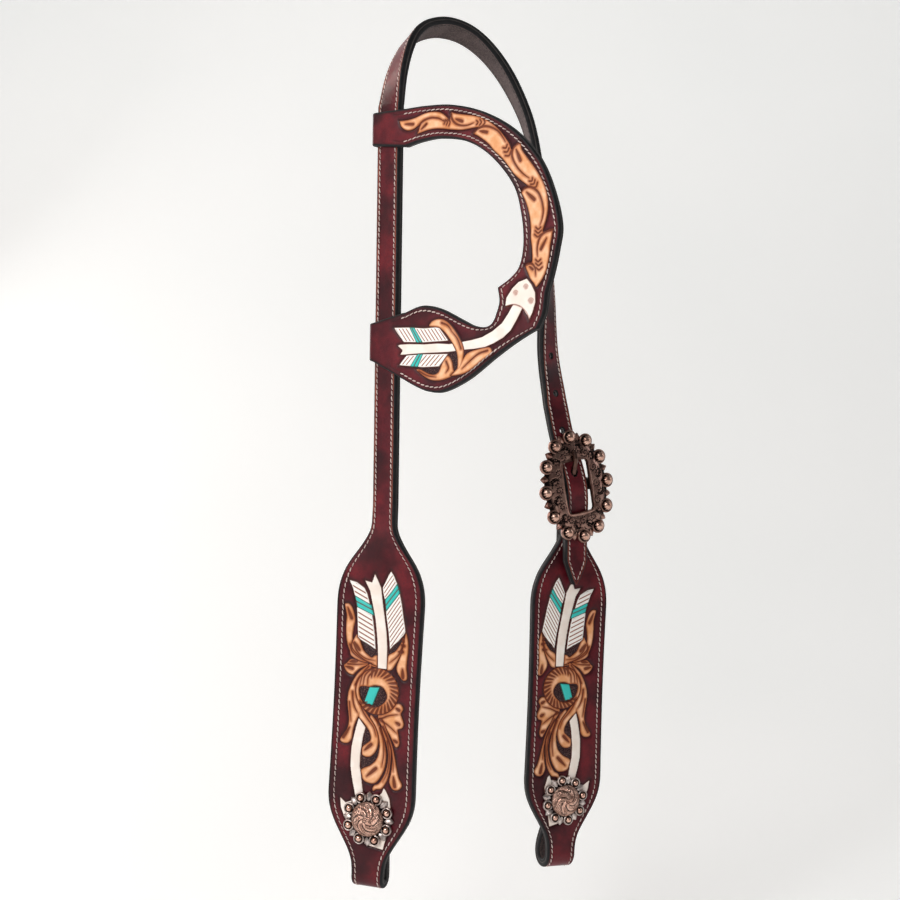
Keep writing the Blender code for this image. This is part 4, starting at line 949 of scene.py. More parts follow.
def top_faces(a, b, wide_a, wide_b, gone):
    """Faces of the top between rows whose tops start at points a and b, without the gone ones."""
    if wide_a == wide_b:
        kept = [k for k in range(wide_a) if not gone[k]] if gone.any() else range(wide_a)
        return [(a + k, a + k + 1, b + k + 1, b + k) for k in kept]
    if wide_a < wide_b:
        ratio = wide_b // wide_a
        return [(a + k, a + k + 1, *range(b + (k + 1) * ratio, b + k * ratio - 1, -1)) for k in range(wide_a)]
    ratio = wide_a // wide_b
    return [(*range(a + k * ratio, a + (k + 1) * ratio + 1), b + k + 1, b + k) for k in range(wide_b)]


def hole_walls(row, now, before, top, bottom):
    """Walls where holes start, end or have a side, and the (row, column) points on them."""
    faces, used = [], []
    for k in range(COARSE):
        if now[k] != before[k]:
            left, right = (k, k + 1) if now[k] else (k + 1, k)
            faces.append((top(row, right), top(row, left), bottom(row, left), bottom(row, right)))
            used += [(row, k), (row, k + 1)]
    for k in range(COARSE + 1):
        left, right = k > 0 and now[k - 1], k < COARSE and now[k]
        if left != right:
            start, end = (row, row + 1) if left else (row + 1, row)
            faces.append((top(end, k), top(start, k), bottom(start, k), bottom(end, k)))
            used += [(row, k), (row + 1, k)]
    return faces, used


def ply_faces(columns, starts, tops, place, holes):
    """(faces, slots) of a ply. Points on the rims of holes are snapped to their outline."""

    def top(row, k):
        return starts[row] + EDGE_COLUMNS - 1 + k

    def bottom(row, k):
        return starts[row] + tops[row] + 1 + COARSE - k

    faces, slots, rims = [], [], []
    before = np.zeros(COARSE, bool)
    for i in range(len(starts) - 1):
        a, b, end_a, end_b = starts[i], starts[i + 1], starts[i] + tops[i], starts[i + 1] + tops[i + 1]
        for k in range(EDGE_COLUMNS - 1):
            faces.append((a + k, a + k + 1, b + k + 1, b + k))
            faces.append((end_a - 2 - k, end_a - 1 - k, end_b - 1 - k, end_b - 2 - k))
        slots += [EDGE] * (len(faces) - len(slots))
        gone = np.zeros(COARSE, bool)
        if holes and columns[i] == columns[i + 1] == COARSE:
            line = np.arange(COARSE) + EDGE_COLUMNS - 1
            gone = holes((place[a + line] + place[a + line + 1] + place[b + line] + place[b + line + 1]) / 4)
        faces += top_faces(top(i, 0), top(i + 1, 0), columns[i], columns[i + 1], gone)
        slots += [TOP] * (len(faces) - len(slots))
        for k in range(COARSE + 4):
            under = 2 <= k < COARSE + 2
            if under and gone[COARSE + 1 - k]:
                continue
            p, q = end_a - 1 + k, end_b - 1 + k
            after_p, after_q = (a, b) if k == COARSE + 3 else (p + 1, q + 1)
            faces.append((p, after_p, after_q, q))
            slots.append(UNDER if under else EDGE)
        if gone.any() or before.any():
            walls, used = hole_walls(i, gone, before, top, bottom)
            faces += walls
            rims += used
        slots += [EDGE] * (len(faces) - len(slots))
        before = gone
    snapped = [index(row, k) for row, k in dict.fromkeys(rims) for index in (top, bottom)]
    return faces, slots, snapped


# %% The ply builder
GROOVE_DEPTH = 0.22 * MM
NARROW = 9.5


def work_top(strip, tool, fine, rows, offset, level, rim, fields):
    """Tools the fine rows: moves their level and fills in the fields that the paint reads."""
    spot = strip.pattern[rows[fine]] + strip.pattern_across[rows[fine]] * (offset[fine] / MM)[:, None]
    work = Tooling(spot[:, 0], spot[:, 1])
    tool(work)
    height = work.relief(rng.uniform(-1, 1, fine.sum())) * np.clip(rim[fine], 0, 1)
    level[fine] += height * MM
    for layer, values in work.layers.items():
        fields[layer][fine] = values
    fields["mark"][fine], fields["barb"][fine] = work.mark, work.barb
    fields["nearest"][fine] = np.maximum.reduce(list(work.layers.values()))


def ply(name, strip, inner, outer, materials, tool=None, holes=None, inset=None):
    """One ply of a strip between two levels against the seam. tool works the top of fine rows."""
    sign = 1 if outer > inner else -1
    columns = np.where(strip.fine & (tool is not None), FINE, COARSE).tolist()
    sections = [row_section(half, wide, inner, outer) for half, wide in zip(strip.half, columns)]
    offset, level, rim = (np.concatenate(values) for values in zip(*sections))
    sizes = [len(section[0]) for section in sections]
    starts = np.cumsum([0] + sizes[:-1]).tolist()
    tops = [wide - 1 + 2 * EDGE_COLUMNS for wide in columns]
    rows = np.repeat(np.arange(len(sizes)), sizes)
    is_top = np.concatenate([np.arange(size) < end for size, end in zip(sizes, tops)])
    fields = {field: np.full(len(rows), FAR) for field in (*LAYERS, "mark", "nearest")}
    fields.update({field: np.zeros(len(rows)) for field in ("barb", "groove", "margin")})
    if tool is not None:
        work_top(strip, tool, is_top & strip.fine[rows], rows, offset, level, rim, fields)
    if inset is not None:
        beside = (strip.half[rows] - inset[rows] - np.abs(offset)) / MM
        level -= np.where(is_top, sign * GROOVE_DEPTH * np.exp(-((beside / 0.5) ** 2)), 0)
        fields["groove"] = np.where(is_top, np.exp(-((beside / 0.55) ** 2)), 0)
        narrow = np.clip(NARROW - strip.half[rows] / MM, 0, 1)
        fields["margin"] = np.where(is_top, np.clip(-beside / 0.5, 0, 1) * narrow, 0)
    place = strip.middle[rows] + strip.flat[rows] * offset[:, None] + strip.out[rows] * level[:, None]
    faces, slots, snapped = ply_faces(columns, starts, tops, place, holes)
    for index in snapped:
        place[index] = holes.snap(place[index])
        rim[index] = min(rim[index], -1.0)
    faces += [tuple(reversed(range(sizes[0]))), tuple(range(starts[-1], len(rows)))]
    slots += [EDGE, EDGE]
    if sign < 0:
        faces = [face[::-1] for face in faces]
    made = mesh_piece(name, place, faces, materials)
    made.data.polygons.foreach_set("material_index", np.array(slots, np.int32))
    for field, values in {**fields, "rim": rim}.items():
        give(made, field, values)
    return made


# %% [markdown]
# ## Colours and nodes
# Colours are written as the hex values that a painter would pick from a swatch, and one function
# turns them into the linear light that the renderer works in. One small function adds a node
# with its settings, values and links, and the others give the usual nodes short names.

# %% A recipe for a material
def linear(hex_colour):
    parts = [int(hex_colour[k:k + 2], 16) / 255 for k in (1, 3, 5)]
    return (*[c / 12.92 if c <= 0.04045 else ((c + 0.055) / 1.055) ** 2.4 for c in parts], 1.0)


class Recipe:
    """A material being mixed. A value in it is a socket, a number or a hex colour."""

    def __init__(self, name):
        self.material = bpy.data.materials.new(name)
        self.material.use_nodes = True
        self.tree = self.material.node_tree
        self.shader = self.tree.nodes["Principled BSDF"]

    def feed(self, socket, value):
        if isinstance(value, bpy.types.NodeSocket):
            self.tree.links.new(value, socket)
        else:
            socket.default_value = linear(value) if isinstance(value, str) else value

    def add(self, kind, inputs, output=0, **settings):
        """Adds a node, feeds its inputs and gives one of its outputs."""
        node = self.tree.nodes.new("ShaderNode" + kind)
        for key, value in settings.items():
            setattr(node, key, value)
        for key, value in inputs.items():
            self.feed(node.inputs[key], value)
        return node.outputs[output]

    def field(self, name):
        return self.add("Attribute", {}, "Fac", attribute_name=name)

    def span(self, value, low=0.0, high=1.0, to_low=0.0, to_high=1.0, kind="LINEAR"):
        return self.add("MapRange", {0: value, 1: low, 2: high, 3: to_low, 4: to_high}, interpolation_type=kind)

    def ramp(self, value, low, high):
        """0 below low and 1 above high, smooth between."""
        return self.span(value, low, high, kind="SMOOTHSTEP")

    def mix(self, factor, a, b):
        return self.add("Mix", {0: factor, 6: a, 7: b}, 2, data_type="RGBA")

    def math(self, operation, a, b=0.0):
        return self.add("Math", {0: a, 1: b}, operation=operation)

    def plus(self, a, b):
        return self.math("ADD", a, b)

    def minus(self, a, b):
        return self.math("SUBTRACT", a, b)

    def times(self, a, b):
        return self.math("MULTIPLY", a, b)

    def larger(self, a, b):
        return self.math("MAXIMUM", a, b)

    def place(self):
        return self.add("TexCoord", {}, "Object")

    def noise(self, size_mm, detail=2.0, rough=0.5):
        inputs = {"Vector": self.place(), "Scale": 1000 / size_mm, "Detail": detail, "Roughness": rough}
        return self.add("TexNoise", inputs, "Fac")

    def cells(self, size_mm):
        return self.add("TexVoronoi", {"Vector": self.place(), "Scale": 1000 / size_mm}, "Distance")

    def bump(self, height, strength, depth_mm, under=None):
        inputs = {"Height": height, "Strength": strength, "Distance": depth_mm * MM}
        return self.add("Bump", inputs if under is None else {**inputs, "Normal": under})

    def done(self, **values):
        """Feeds the shader's own sockets, with _ for a space in their names."""
        for key, value in values.items():
            self.feed(self.shader.inputs[key.replace("_", " ")], value)
        return self.material


# %% [markdown]
# ### Tooled and dyed bridle leather
# Vegetable-tanned skirting leather, cased and tooled by hand, dyed burgundy, painted and
# sealed with resist and a wax finish. To the eye it is a deep wine red with brown mottling, a
# soft gloss that breaks up in the grain, dark burnish in every cut, and a black painted edge.

# %% Dye, paint and burnish
def dyed_wine_with_hollow_shade(r, mottle, fine):
    """Burgundy dye: mottled, dark in patches and rubbed brown on the margins. Round the tooling, in
    its bevelled hollow, it is darkened: partly antique and partly painted shade.
    """
    wine = r.mix(r.ramp(mottle, 0.3, 0.7), "#430C16", "#701A22")
    wine = r.mix(r.ramp(fine, 0.35, 0.8), wine, "#571620")
    wine = r.mix(r.times(r.ramp(r.noise(26, 3), 0.42, 0.68), 0.75), wine, "#1E070D")
    # Painted shade with some antique: darker within a few millimetres outside every tooled shape
    wine = r.mix(r.times(r.ramp(r.field("nearest"), -2.6, -0.2), 0.65), wine, "#1A0609")
    rubbed = r.times(r.field("margin"), r.ramp(r.noise(9, 3), 0.2, 0.7))
    return r.mix(r.times(rubbed, 0.75), wine, "#94503C")


def resist_tan(r, leaf):
    """Leaves that the dye was kept off: honey tan, darker at the rim and beside the marks."""
    tan = r.mix(r.ramp(r.noise(6, 3), 0.3, 0.7), "#E09C68", "#F6C199")
    tan = r.mix(r.ramp(leaf, 0.1, 1.5), "#A0552C", tan)
    return r.mix(r.times(r.ramp(r.field("mark"), -1.5, -0.2), 0.7), tan, "#A8562A")


def brushed_arrow(r, colour, bare):
    """Off-white paint on the arrows, brown barb cuts in the feathers, and turquoise bands."""
    feather = r.field("feather")
    chalk = r.mix(r.ramp(r.noise(9, 3), 0.35, 0.7), "#F0E1D5", "#F8EEE5")
    colour = r.mix(r.ramp(bare, -0.12, 0.12), colour, chalk)
    colour = r.mix(r.ramp(feather, -0.12, 0.12), colour, "#F7F1EB")
    barb = r.math("ABSOLUTE", r.minus(r.math("FRACT", r.field("barb")), 0.5))
    barb = r.times(r.minus(1.0, r.ramp(barb, 0.10, 0.19)), r.ramp(feather, 0.5, 0.9))
    colour = r.mix(barb, colour, "#8A4A2E")
    return r.mix(r.ramp(r.field("teal"), -0.12, 0.12), colour, "#3BC2B9")


CUT_COLOURS = {"leaf_one": "#41190F", "leaf_two": "#41190F", "bare": "#522014", "feather": "#5C2E1E",
               "teal": "#2A5A50"}


def dark_cuts(r, colour):
    """Dark burnish in the outlines, the marks and the stitch groove."""
    for layer, dark in CUT_COLOURS.items():
        line = r.minus(1.0, r.ramp(r.math("ABSOLUTE", r.field(layer)), 0.08, 0.34))
        colour = r.mix(line, colour, dark)
    on_bare = r.ramp(r.field("bare"), 0.2, 0.5)
    depth = r.times(r.ramp(r.field("mark"), -0.35, 0.2), r.minus(0.9, r.times(on_bare, 0.3)))
    colour = r.mix(depth, colour, r.mix(on_bare, "#5F2410", "#96432A"))
    return r.mix(r.times(r.field("groove"), 0.45), colour, "#220A0D")


def black_rim(r, colour, fine):
    """Burnish that fades in from the edge, and the black edge paint."""
    rim = r.field("rim")
    burnish = r.minus(0.7, r.times(r.field("margin"), 0.6))
    worn = r.ramp(r.plus(rim, r.times(fine, 0.6)), 0.9, 3.0)
    colour = r.mix(worn, r.mix(burnish, colour, "#14080A"), colour)
    return r.mix(r.ramp(r.plus(rim, r.times(fine, 0.5)), 0.55, 1.1), "#0C0C0E", colour)


# %% Tooled leather
def tooled_leather():
    r = Recipe("tooled_burgundy_veg_tan")
    mottle, fine = r.noise(14, 4, 0.6), r.noise(1.2, 3, 0.6)
    # The stippled ground: dark antique in the dents, and light specks that are partly leather showing through and
    # partly painted highlights
    stipple_with_highlights = r.mix(r.ramp(r.cells(0.62), 0.12, 0.42), "#7A5550", "#2A1114")
    colour = r.mix(r.ramp(r.field("ground"), -0.15, 0.15), dyed_wine_with_hollow_shade(r, mottle, fine), stipple_with_highlights)
    leaf = r.larger(r.field("leaf_one"), r.field("leaf_two"))
    bare = r.larger(r.field("bare"), r.field("feather"))
    colour = r.mix(r.ramp(leaf, -0.12, 0.12), colour, resist_tan(r, leaf))
    colour = black_rim(r, dark_cuts(r, brushed_arrow(r, colour, bare)), fine)
    painted = r.ramp(r.larger(bare, leaf), -0.1, 0.1)
    rough = r.plus(r.span(mottle, 0.3, 0.7, 0.3, 0.46), r.times(painted, 0.12))
    grain = r.bump(r.noise(0.5, 4, 0.7), 0.3, 0.08, under=r.bump(r.cells(0.55), 0.38, 0.16))
    return r.done(Base_Color=colour, Normal=grain, Roughness=rough, IOR=1.45, Specular_IOR_Level=0.27,
                  Coat_Weight=0.05, Coat_Roughness=0.2)


# %% [markdown]
# ### Lining leather, thread and metal
# The lining is a split laid flesh side out: a fuzzy grey-brown, no gloss. The thread is waxed
# bonded nylon, light and slightly grey from handling. The conchos and the buckle are cast zinc,
# plated with copper, and dipped in black that is rubbed off again, so it stays in the recesses.

# %% Lining, thread and metals
def burnished_edge():
    """Black edge paint, slightly streaked, with the seam of the plies showing as a grey line."""
    r = Recipe("burnished_black_edge")
    streak = r.noise(3, 4, 0.65)
    colour = r.mix(r.ramp(streak, 0.3, 0.75), "#0B0B0D", "#1D1C1E")
    seam = r.ramp(r.plus(r.field("rim"), r.times(r.noise(5, 2), 0.5)), -2.9, -2.3)
    return r.done(Base_Color=r.mix(seam, "#4C4644", colour), Normal=r.bump(streak, 0.25, 0.1),
                  Roughness=r.span(streak, to_low=0.5, to_high=0.7), Specular_IOR_Level=0.25)


def lining_leather():
    """The flesh side: matt grey-brown nap, blotched, with black paint that strayed over its rim."""
    r = Recipe("flesh_side_split")
    nap, rim = r.noise(0.9, 5, 0.75), r.field("rim")
    colour = r.mix(r.ramp(r.noise(12, 3, 0.6), 0.3, 0.7), "#3B3030", "#524544")
    colour = r.mix(r.ramp(nap, 0.4, 0.75), colour, "#6B5D5A")
    inside = r.larger(r.ramp(r.plus(rim, r.times(nap, 0.5)), 0.1, 0.55), r.math("LESS_THAN", rim, -3.2))
    return r.done(Base_Color=r.mix(inside, "#0C0C0E", colour), Normal=r.bump(nap, 0.5, 0.2),
                  Roughness=r.span(nap, to_low=0.72, to_high=0.92), Specular_IOR_Level=0.3)


def waxed_thread(name, clean, soiled):
    """Waxed thread: a dull bead, soiled here and there."""
    r = Recipe(name)
    return r.done(Base_Color=r.mix(r.ramp(r.noise(7, 3, 0.6), 0.35, 0.75), clean, soiled),
                  Normal=r.bump(r.noise(0.3, 2), 0.4, 0.08), Roughness=0.55)


def antiqued_and_shaded_metal(name, light, warm, dark, smooth, rough):
    """Plated metal: bright where it is rubbed, black and rougher in the recesses, and darker where
    a casting carries painted shade and painted glint stripes.
    """
    r = Recipe(name)
    colour = r.mix(r.ramp(r.noise(4, 3, 0.6), 0.3, 0.7), light, warm)
    patina_and_shade = r.ramp(r.plus(r.field("recess_and_shade"), r.times(r.noise(1.2, 3), 0.35)), 0.35, 0.85)
    return r.done(Base_Color=r.mix(patina_and_shade, colour, dark), Roughness=r.span(patina_and_shade, to_low=smooth, to_high=rough),
                  Normal=r.bump(r.noise(0.7, 3, 0.6), 0.16, 0.1), Metallic=1.0)


leather, edge_black, lining = tooled_leather(), burnished_edge(), lining_leather()
thread = waxed_thread("waxed_nylon_thread", "#DCC8BF", "#9C847E")
bobbin_thread = waxed_thread("dark_bobbin_thread", "#3A302E", "#2A2322")
copper = antiqued_and_shaded_metal("antiqued_copper_with_painted_shade", "#E8BFAC", "#C49785", "#1B1314", 0.27, 0.5)
pewter = antiqued_and_shaded_metal("antiqued_nickel_casting", "#D2C6C0", "#B3A6A1", "#2F2826", 0.38, 0.5)
bronze = antiqued_and_shaded_metal("darkened_copper_casting", "#A98679", "#86635A", "#150F0F", 0.28, 0.5)
steel = antiqued_and_shaded_metal("plated_steel", "#8C7770", "#7A655E", "#2A2222", 0.28, 0.45)
tongue_metal = antiqued_and_shaded_metal("worn_dark_tongue", "#6E544B", "#4E3A33", "#120D0D", 0.3, 0.5)
print("materials:", len(bpy.data.materials))

# %% [markdown]
# ## Cutting the leather
# The billet has round punched holes, and the tongue goes through one of them. The fold round the
# buckle's bar has a slot for the tongue. Then every ply is cut, tooled and dyed.

# %% Punches
HOLE_RADIUS, HOLE_PITCH, FIRST_HOLE = 1.95 * MM, 24.3 * MM, 11 * MM
HOLE_REACH = 8 * MM
TONGUE_SLOT = (1.9, 2.2)


class PunchedHoles:
    """Round holes at some places, the tongue's own hole and the slot in a fold."""

    def __init__(self, spots=(), tongue=None, fold=None):
        self.spots, self.tongue, self.fold = spots, tongue, fold

    def __call__(self, at):
        """True where a point lies in a hole."""
        gone = np.zeros(len(at), bool)
        for spot in self.spots:
            rel = at - spot.at
            flat = np.hypot(rel @ spot.right, rel @ spot.up)
            gone |= (flat < HOLE_RADIUS * 0.93) & (np.abs(rel @ spot.out) < HOLE_REACH)
        if self.tongue:
            rel, (wide, tall) = at - self.tongue.at, TONGUE_SLOT
            ring = np.hypot((rel @ self.tongue.right) / wide, (rel @ self.tongue.up) / tall) / MM
            ahead = rel @ self.tongue.out
            gone |= (ring < 1) & (ahead > 2 * MM) & (ahead < 20 * MM)
        if self.fold:
            rel = at - self.fold.at
            gone |= (np.abs(rel @ self.fold.right) < 2.2 * MM) & (rel @ self.fold.up > -7.5 * MM)
        return gone

    def snap(self, point):
        """A point near a round hole, moved onto its outline."""
        for spot in self.spots:
            rel = point - spot.at
            right, up, out = rel @ spot.right, rel @ spot.up, rel @ spot.out
            flat = math.hypot(right, up)
            if flat < HOLE_RADIUS * 1.6 and abs(out) < HOLE_REACH:
                grow = HOLE_RADIUS / max(flat, 1e-9)
                return spot.point(right * grow, up * grow, out)
        return point


def billet_spots(strip):
    last = np.argmin(np.linalg.norm(strip.middle - BUCKLE.point(0, 0, BILLET_CREST), axis=1))
    gone = np.cumsum(np.linalg.norm(np.diff(strip.middle[: last + 1][::-1], axis=0), axis=1))
    spots = []
    for k in (1, 2, 3):
        i = last - 1 - np.searchsorted(gone, FIRST_HOLE + HOLE_PITCH * k)
        spots.append(Place(strip.middle[i], strip.flat[i], np.cross(strip.out[i], strip.flat[i])))
    return spots


RISE = math.radians(31)
across_tongue = BUCKLE.out * math.cos(RISE) - BUCKLE.up * math.sin(RISE)
TONGUE_CENTRE = BAR_RADIUS + FIT_GAP + 0.9 * MM
tongue_line = Place(BUCKLE.at + across_tongue * TONGUE_CENTRE, across_tongue, BUCKLE.right)
billet_holes = PunchedHoles(billet_spots(long_strip), tongue=tongue_line)
print("holes in the billet:", len(billet_holes.spots) + 1)

# %% Cut and tool every ply
EAR_FACE = HALF_GAP + 2.4 * MM
EAR_SEAM, NO_SEAM = 3.0 * MM, 90 * MM
EAR_LINING_FROM = 13.5


def cut_ply(name, node, body, strip, inner, outer, tool=None, holes=None, inset=None):
    """A ply as a piece: the grain side is dyed, and the lining shows its flesh side."""
    outside, slot = (leather, "burgundy_leather") if outer > 0 else (lining, "lining_leather")
    made = ply(name, strip, inner, outer, (outside, lining, edge_black), tool, holes, inset)
    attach(made, body)
    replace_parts(made, node)
    print(name, len(made.data.polygons), "faces")


cut_ply("long_strap_tooled_face", "long_strap_face", "strap", long_strip, SEAM, FACE_TOP,
        tool_cheek, billet_holes, stitch_inset(long_strip))
cut_ply("long_strap_lining_ply", "long_strap_lining", "strap", long_strip, -SEAM, -LINING_BACK,
        holes=billet_holes)
cut_ply("right_cheek_tooled_face", "right_cheek_face", "right_cheek", right_strip, SEAM, FACE_TOP,
        tool_right_cheek, PunchedHoles(fold=BUCKLE), stitch_inset(right_strip))
cut_ply("right_cheek_lining_ply", "right_cheek_lining", "right_cheek", right_lining_strip, -SEAM, -LINING_BACK)
cut_ply("ear_piece_tooled_face", "ear_piece_face", "ear_piece", ear, SEAM, EAR_FACE,
        tool_ear, inset=np.where(ear.fine, EAR_SEAM, NO_SEAM))
cut_ply("ear_piece_lining_ply", "ear_piece_lining", "ear_piece", ear.part(ear.pattern[:, 0] > EAR_LINING_FROM),
        -SEAM, -HALF_GAP - EAR_LINING_PLY)

# %% [markdown]
# ## Stitching
# The plies are sewn by machine with a lockstitch, about eight stitches to the inch, so each stitch
# lies in its groove as a short bead that dives into the leather at both ends, slightly
# slanted. Every stitch is modelled. They are sewn along lines a few millimetres inside the edges.

# %% One row of stitches
PITCH = 3.2 * MM
STITCH_AT = np.array((-1.42, -1.12, -0.5, 0.5, 1.12, 1.42)) * MM
STITCH_UP = np.array((-0.48, -0.16, 0.0, 0.0, -0.16, -0.48)) * MM
STITCH_THICK = np.array((0.16, 0.28, 0.35, 0.35, 0.28, 0.16)) * MM
STITCH_SLANT = np.array((-0.30, -0.22, -0.09, 0.09, 0.22, 0.30)) * MM
STITCH_SIDES = 6
STITCH_RINGS = len(STITCH_AT)


def tube_faces(base, rings, sides):
    """Faces of a closed tube whose rings of points follow each other from base."""
    faces = []
    for r in range(rings - 1):
        for k in range(sides):
            a, b = base + r * sides + k, base + r * sides + (k + 1) % sides
            faces.append((a, b, b + sides, a + sides))
    last = base + (rings - 1) * sides
    return faces + [tuple(reversed(range(base, base + sides))), tuple(range(last, last + sides))]


def stitch_points(line, out, flat):
    """Points of all stitches along a line, ring by ring."""
    gone = np.concatenate([[0], np.cumsum(np.linalg.norm(np.diff(line, axis=0), axis=1))])
    count = int(gone[-1] / PITCH)
    centres = (np.arange(count) + 0.5) * gone[-1] / max(count, 1)
    wanted = (centres[:, None] + STITCH_AT).ravel()
    at, outs, sides = (np.stack([np.interp(wanted, gone, rows[:, k]) for k in range(3)], axis=1)
                       for rows in (line, out, flat))
    outs, sides = unit(outs), unit(sides)
    at = at + outs * np.tile(STITCH_UP, count)[:, None] + sides * np.tile(STITCH_SLANT, count)[:, None]
    turns = np.arange(STITCH_SIDES) * math.tau / STITCH_SIDES
    around = sides[:, None] * np.cos(turns)[:, None] + outs[:, None] * np.sin(turns)[:, None]
    return (at[:, None] + around * np.tile(STITCH_THICK, count)[:, None, None]).reshape(-1, 3)


# %% Sew
def seam_line(strip, side, inset, level, keep):
    middle, flat, out = strip.middle[keep], strip.flat[keep], strip.out[keep]
    reach = (strip.half - inset)[keep]
    return middle + flat * (side * reach)[:, None] + out * level, out * np.sign(level), flat, level > 0


def sew(name, body, strip, keep, inset, front=FACE_TOP, back=LINING_BACK):
    """Both seams of a strip, on its front and with the darker bobbin thread on its back."""
    points, faces, slots, total = [], [], [], 0
    for side in (-1, 1):
        for level in (front, -back):
            line, out, flat, in_sight = seam_line(strip, side, inset, level, keep)
            points.append(stitch_points(line, out, flat))
            end = total + len(points[-1])
            for base in range(total, end, STITCH_RINGS * STITCH_SIDES):
                faces += tube_faces(base, STITCH_RINGS, STITCH_SIDES)
            slots += [0 if in_sight else 1] * (len(faces) - len(slots))
            total = end
    made = mesh_piece(name, np.concatenate(points), faces, [thread, bobbin_thread], 60)
    made.data.polygons.foreach_set("material_index", np.array(slots, np.int32))
    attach(made, body)
    print(name, total // (STITCH_RINGS * STITCH_SIDES), "stitches")


STITCHED_FROM = 13
MIN_SEWN_WIDTH = 3.0 * MM
sew("strap_stitching", "strap", long_strip, long_strip.half > MIN_SEWN_WIDTH, stitch_inset(long_strip))
in_front = np.arange(len(right_strip.half)) >= len(right_strip.half) - len(right_lining_strip.half)
sew("right_cheek_stitching", "right_cheek", right_strip, in_front, stitch_inset(right_strip))
sew("ear_piece_stitching", "ear_piece", ear, ear.fine & (ear.pattern[:, 0] > STITCHED_FROM),
    np.full(len(ear.half), EAR_SEAM), EAR_FACE - 0.05 * MM, HALF_GAP + EAR_LINING_PLY)

# %% [markdown]
# ## Berry castings
# The conchos and the buckle are zinc castings of one family: a ring of berries in cups, with leaf
# points between them, round an engraved middle. Each is a height field over a flat plan, plus
# turned cups and berries. A number on each point says how dark it is: how deep in a hollow it
# lies, which is where the black stays, and on the concho domes' flanks and the buckle's berries
# also painted shade, with painted glint stripes round those berries.

# %% Cups, berries and leaf points
def round_point(radius, angle):
    return radius * math.cos(angle), radius * math.sin(angle)


def turned(profile, dark, sides, spots):
    """A (points, faces, recess) part: (radius, height) rings with their darkness, at each spot."""
    points, faces, recess_and_shade = [], [], []
    for x, y, z in spots:
        faces += tube_faces(len(points), len(profile), sides)
        for (radius, height), depth in zip(profile, dark):
            for angle in np.arange(sides) * math.tau / sides:
                points.append((x + radius * math.cos(angle), y + radius * math.sin(angle), z + height))
                recess_and_shade.append(depth)
    return np.array(points), faces, np.array(recess_and_shade)


def cup_profile(cup, berry, height):
    wall = [(cup * 0.93, 0), (cup, height * 0.45), (cup * 0.99, height * 0.8), (cup * 0.93, height),
            (cup * 0.84, height * 1.06), (cup * 0.75, height * 0.98), (berry * 1.12, height * 0.62),
            (berry * 0.98, height * 0.55)]
    return wall, [0.35, 0.2, 0.05, 0.0, 0.05, 0.45, 1.0, 0.9]


def berry_profile(berry, height):
    profile = [(berry * math.cos(a), height + berry * math.sin(a)) for a in np.linspace(-0.35, 1.45, 9)]
    return profile, list(np.clip(0.8 - np.linspace(0, 1.6, 9), 0, 1))


LEAF_STATIONS = ((0.0, 0.62, 0.8), (0.25, 0.95, 1.0), (0.5, 1.0, 0.95), (0.75, 0.62, 0.75), (0.93, 0.2, 0.5),
                 (1.0, 0.03, 0.3))
LEAF_SECTION = ((-1, 0), (-0.8, 0.55), (-0.35, 0.75), (0, 1.0), (0.35, 0.75), (0.8, 0.55), (1, 0))


def leaf_bits(spots, length, width, height):
    """Pointed leaves that lie between the berries, from (x, y, direction) spots."""
    points, faces = [], []
    for x, y, direction in spots:
        base, wide_points = len(points), len(LEAF_SECTION)
        ahead = np.array((math.cos(direction), math.sin(direction)))
        side = np.array((-ahead[1], ahead[0]))
        for share, wide, tall in LEAF_STATIONS:
            for across, up in LEAF_SECTION:
                at = np.array((x, y)) + ahead * length * share + side * width / 2 * wide * across
                points.append((*at, height * tall * up))
        faces += tube_faces(base, len(LEAF_STATIONS), wide_points)
    points = np.array(points)
    return points, faces, np.clip(0.5 - 0.8 * points[:, 2] / max(points[:, 2].max(), 1e-9), 0, 1)


print("a leaf has", len(leaf_bits([(0, 0, 0)], 1.0, 1.0, 1.0)[0]), "points")


# %% Joining the parts of a casting
def casting(name, place, parts, material, body):
    """Joins (points, faces, recess) parts, given on a place, into one piece on a body."""
    points, faces, recess_and_shade, total = [], [], [], 0
    for part_points, part_faces, part_recess_and_shade in parts:
        points.append(part_points)
        recess_and_shade.append(part_recess_and_shade)
        faces += [tuple(total + k for k in face) for face in part_faces]
        total += len(part_points)
    made = mesh_piece(name, place.points(np.concatenate(points)), faces, [material], 50)
    give(made, "recess_and_shade", np.concatenate(recess_and_shade))
    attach(made, body)
    return made


# %% Engraving
def polar(centre, radius, angles):
    return np.stack([centre[0] + radius * np.cos(angles), centre[1] + radius * np.sin(angles)], axis=1)


def scroll_lines(centre, size, turns, start, flip):
    """A small engraved scroll: a spiral with a few leaf cuts off its back."""
    angles = np.linspace(0, turns * math.tau, 26)
    line = polar(centre, size * (1 - angles / (turns * math.tau)) ** 0.8, start + flip * angles)
    lines = [line]
    for k in range(2, 16, 2):
        out = unit(line[k] - np.array(centre))
        swing = np.array((-out[1], out[0])) * flip
        reach = size * (0.42 - 0.015 * k)
        lines.append(np.array((line[k], line[k] + out * reach * 0.6 - swing * reach * 0.3,
                               line[k] + out * reach - swing * reach)))
    return lines


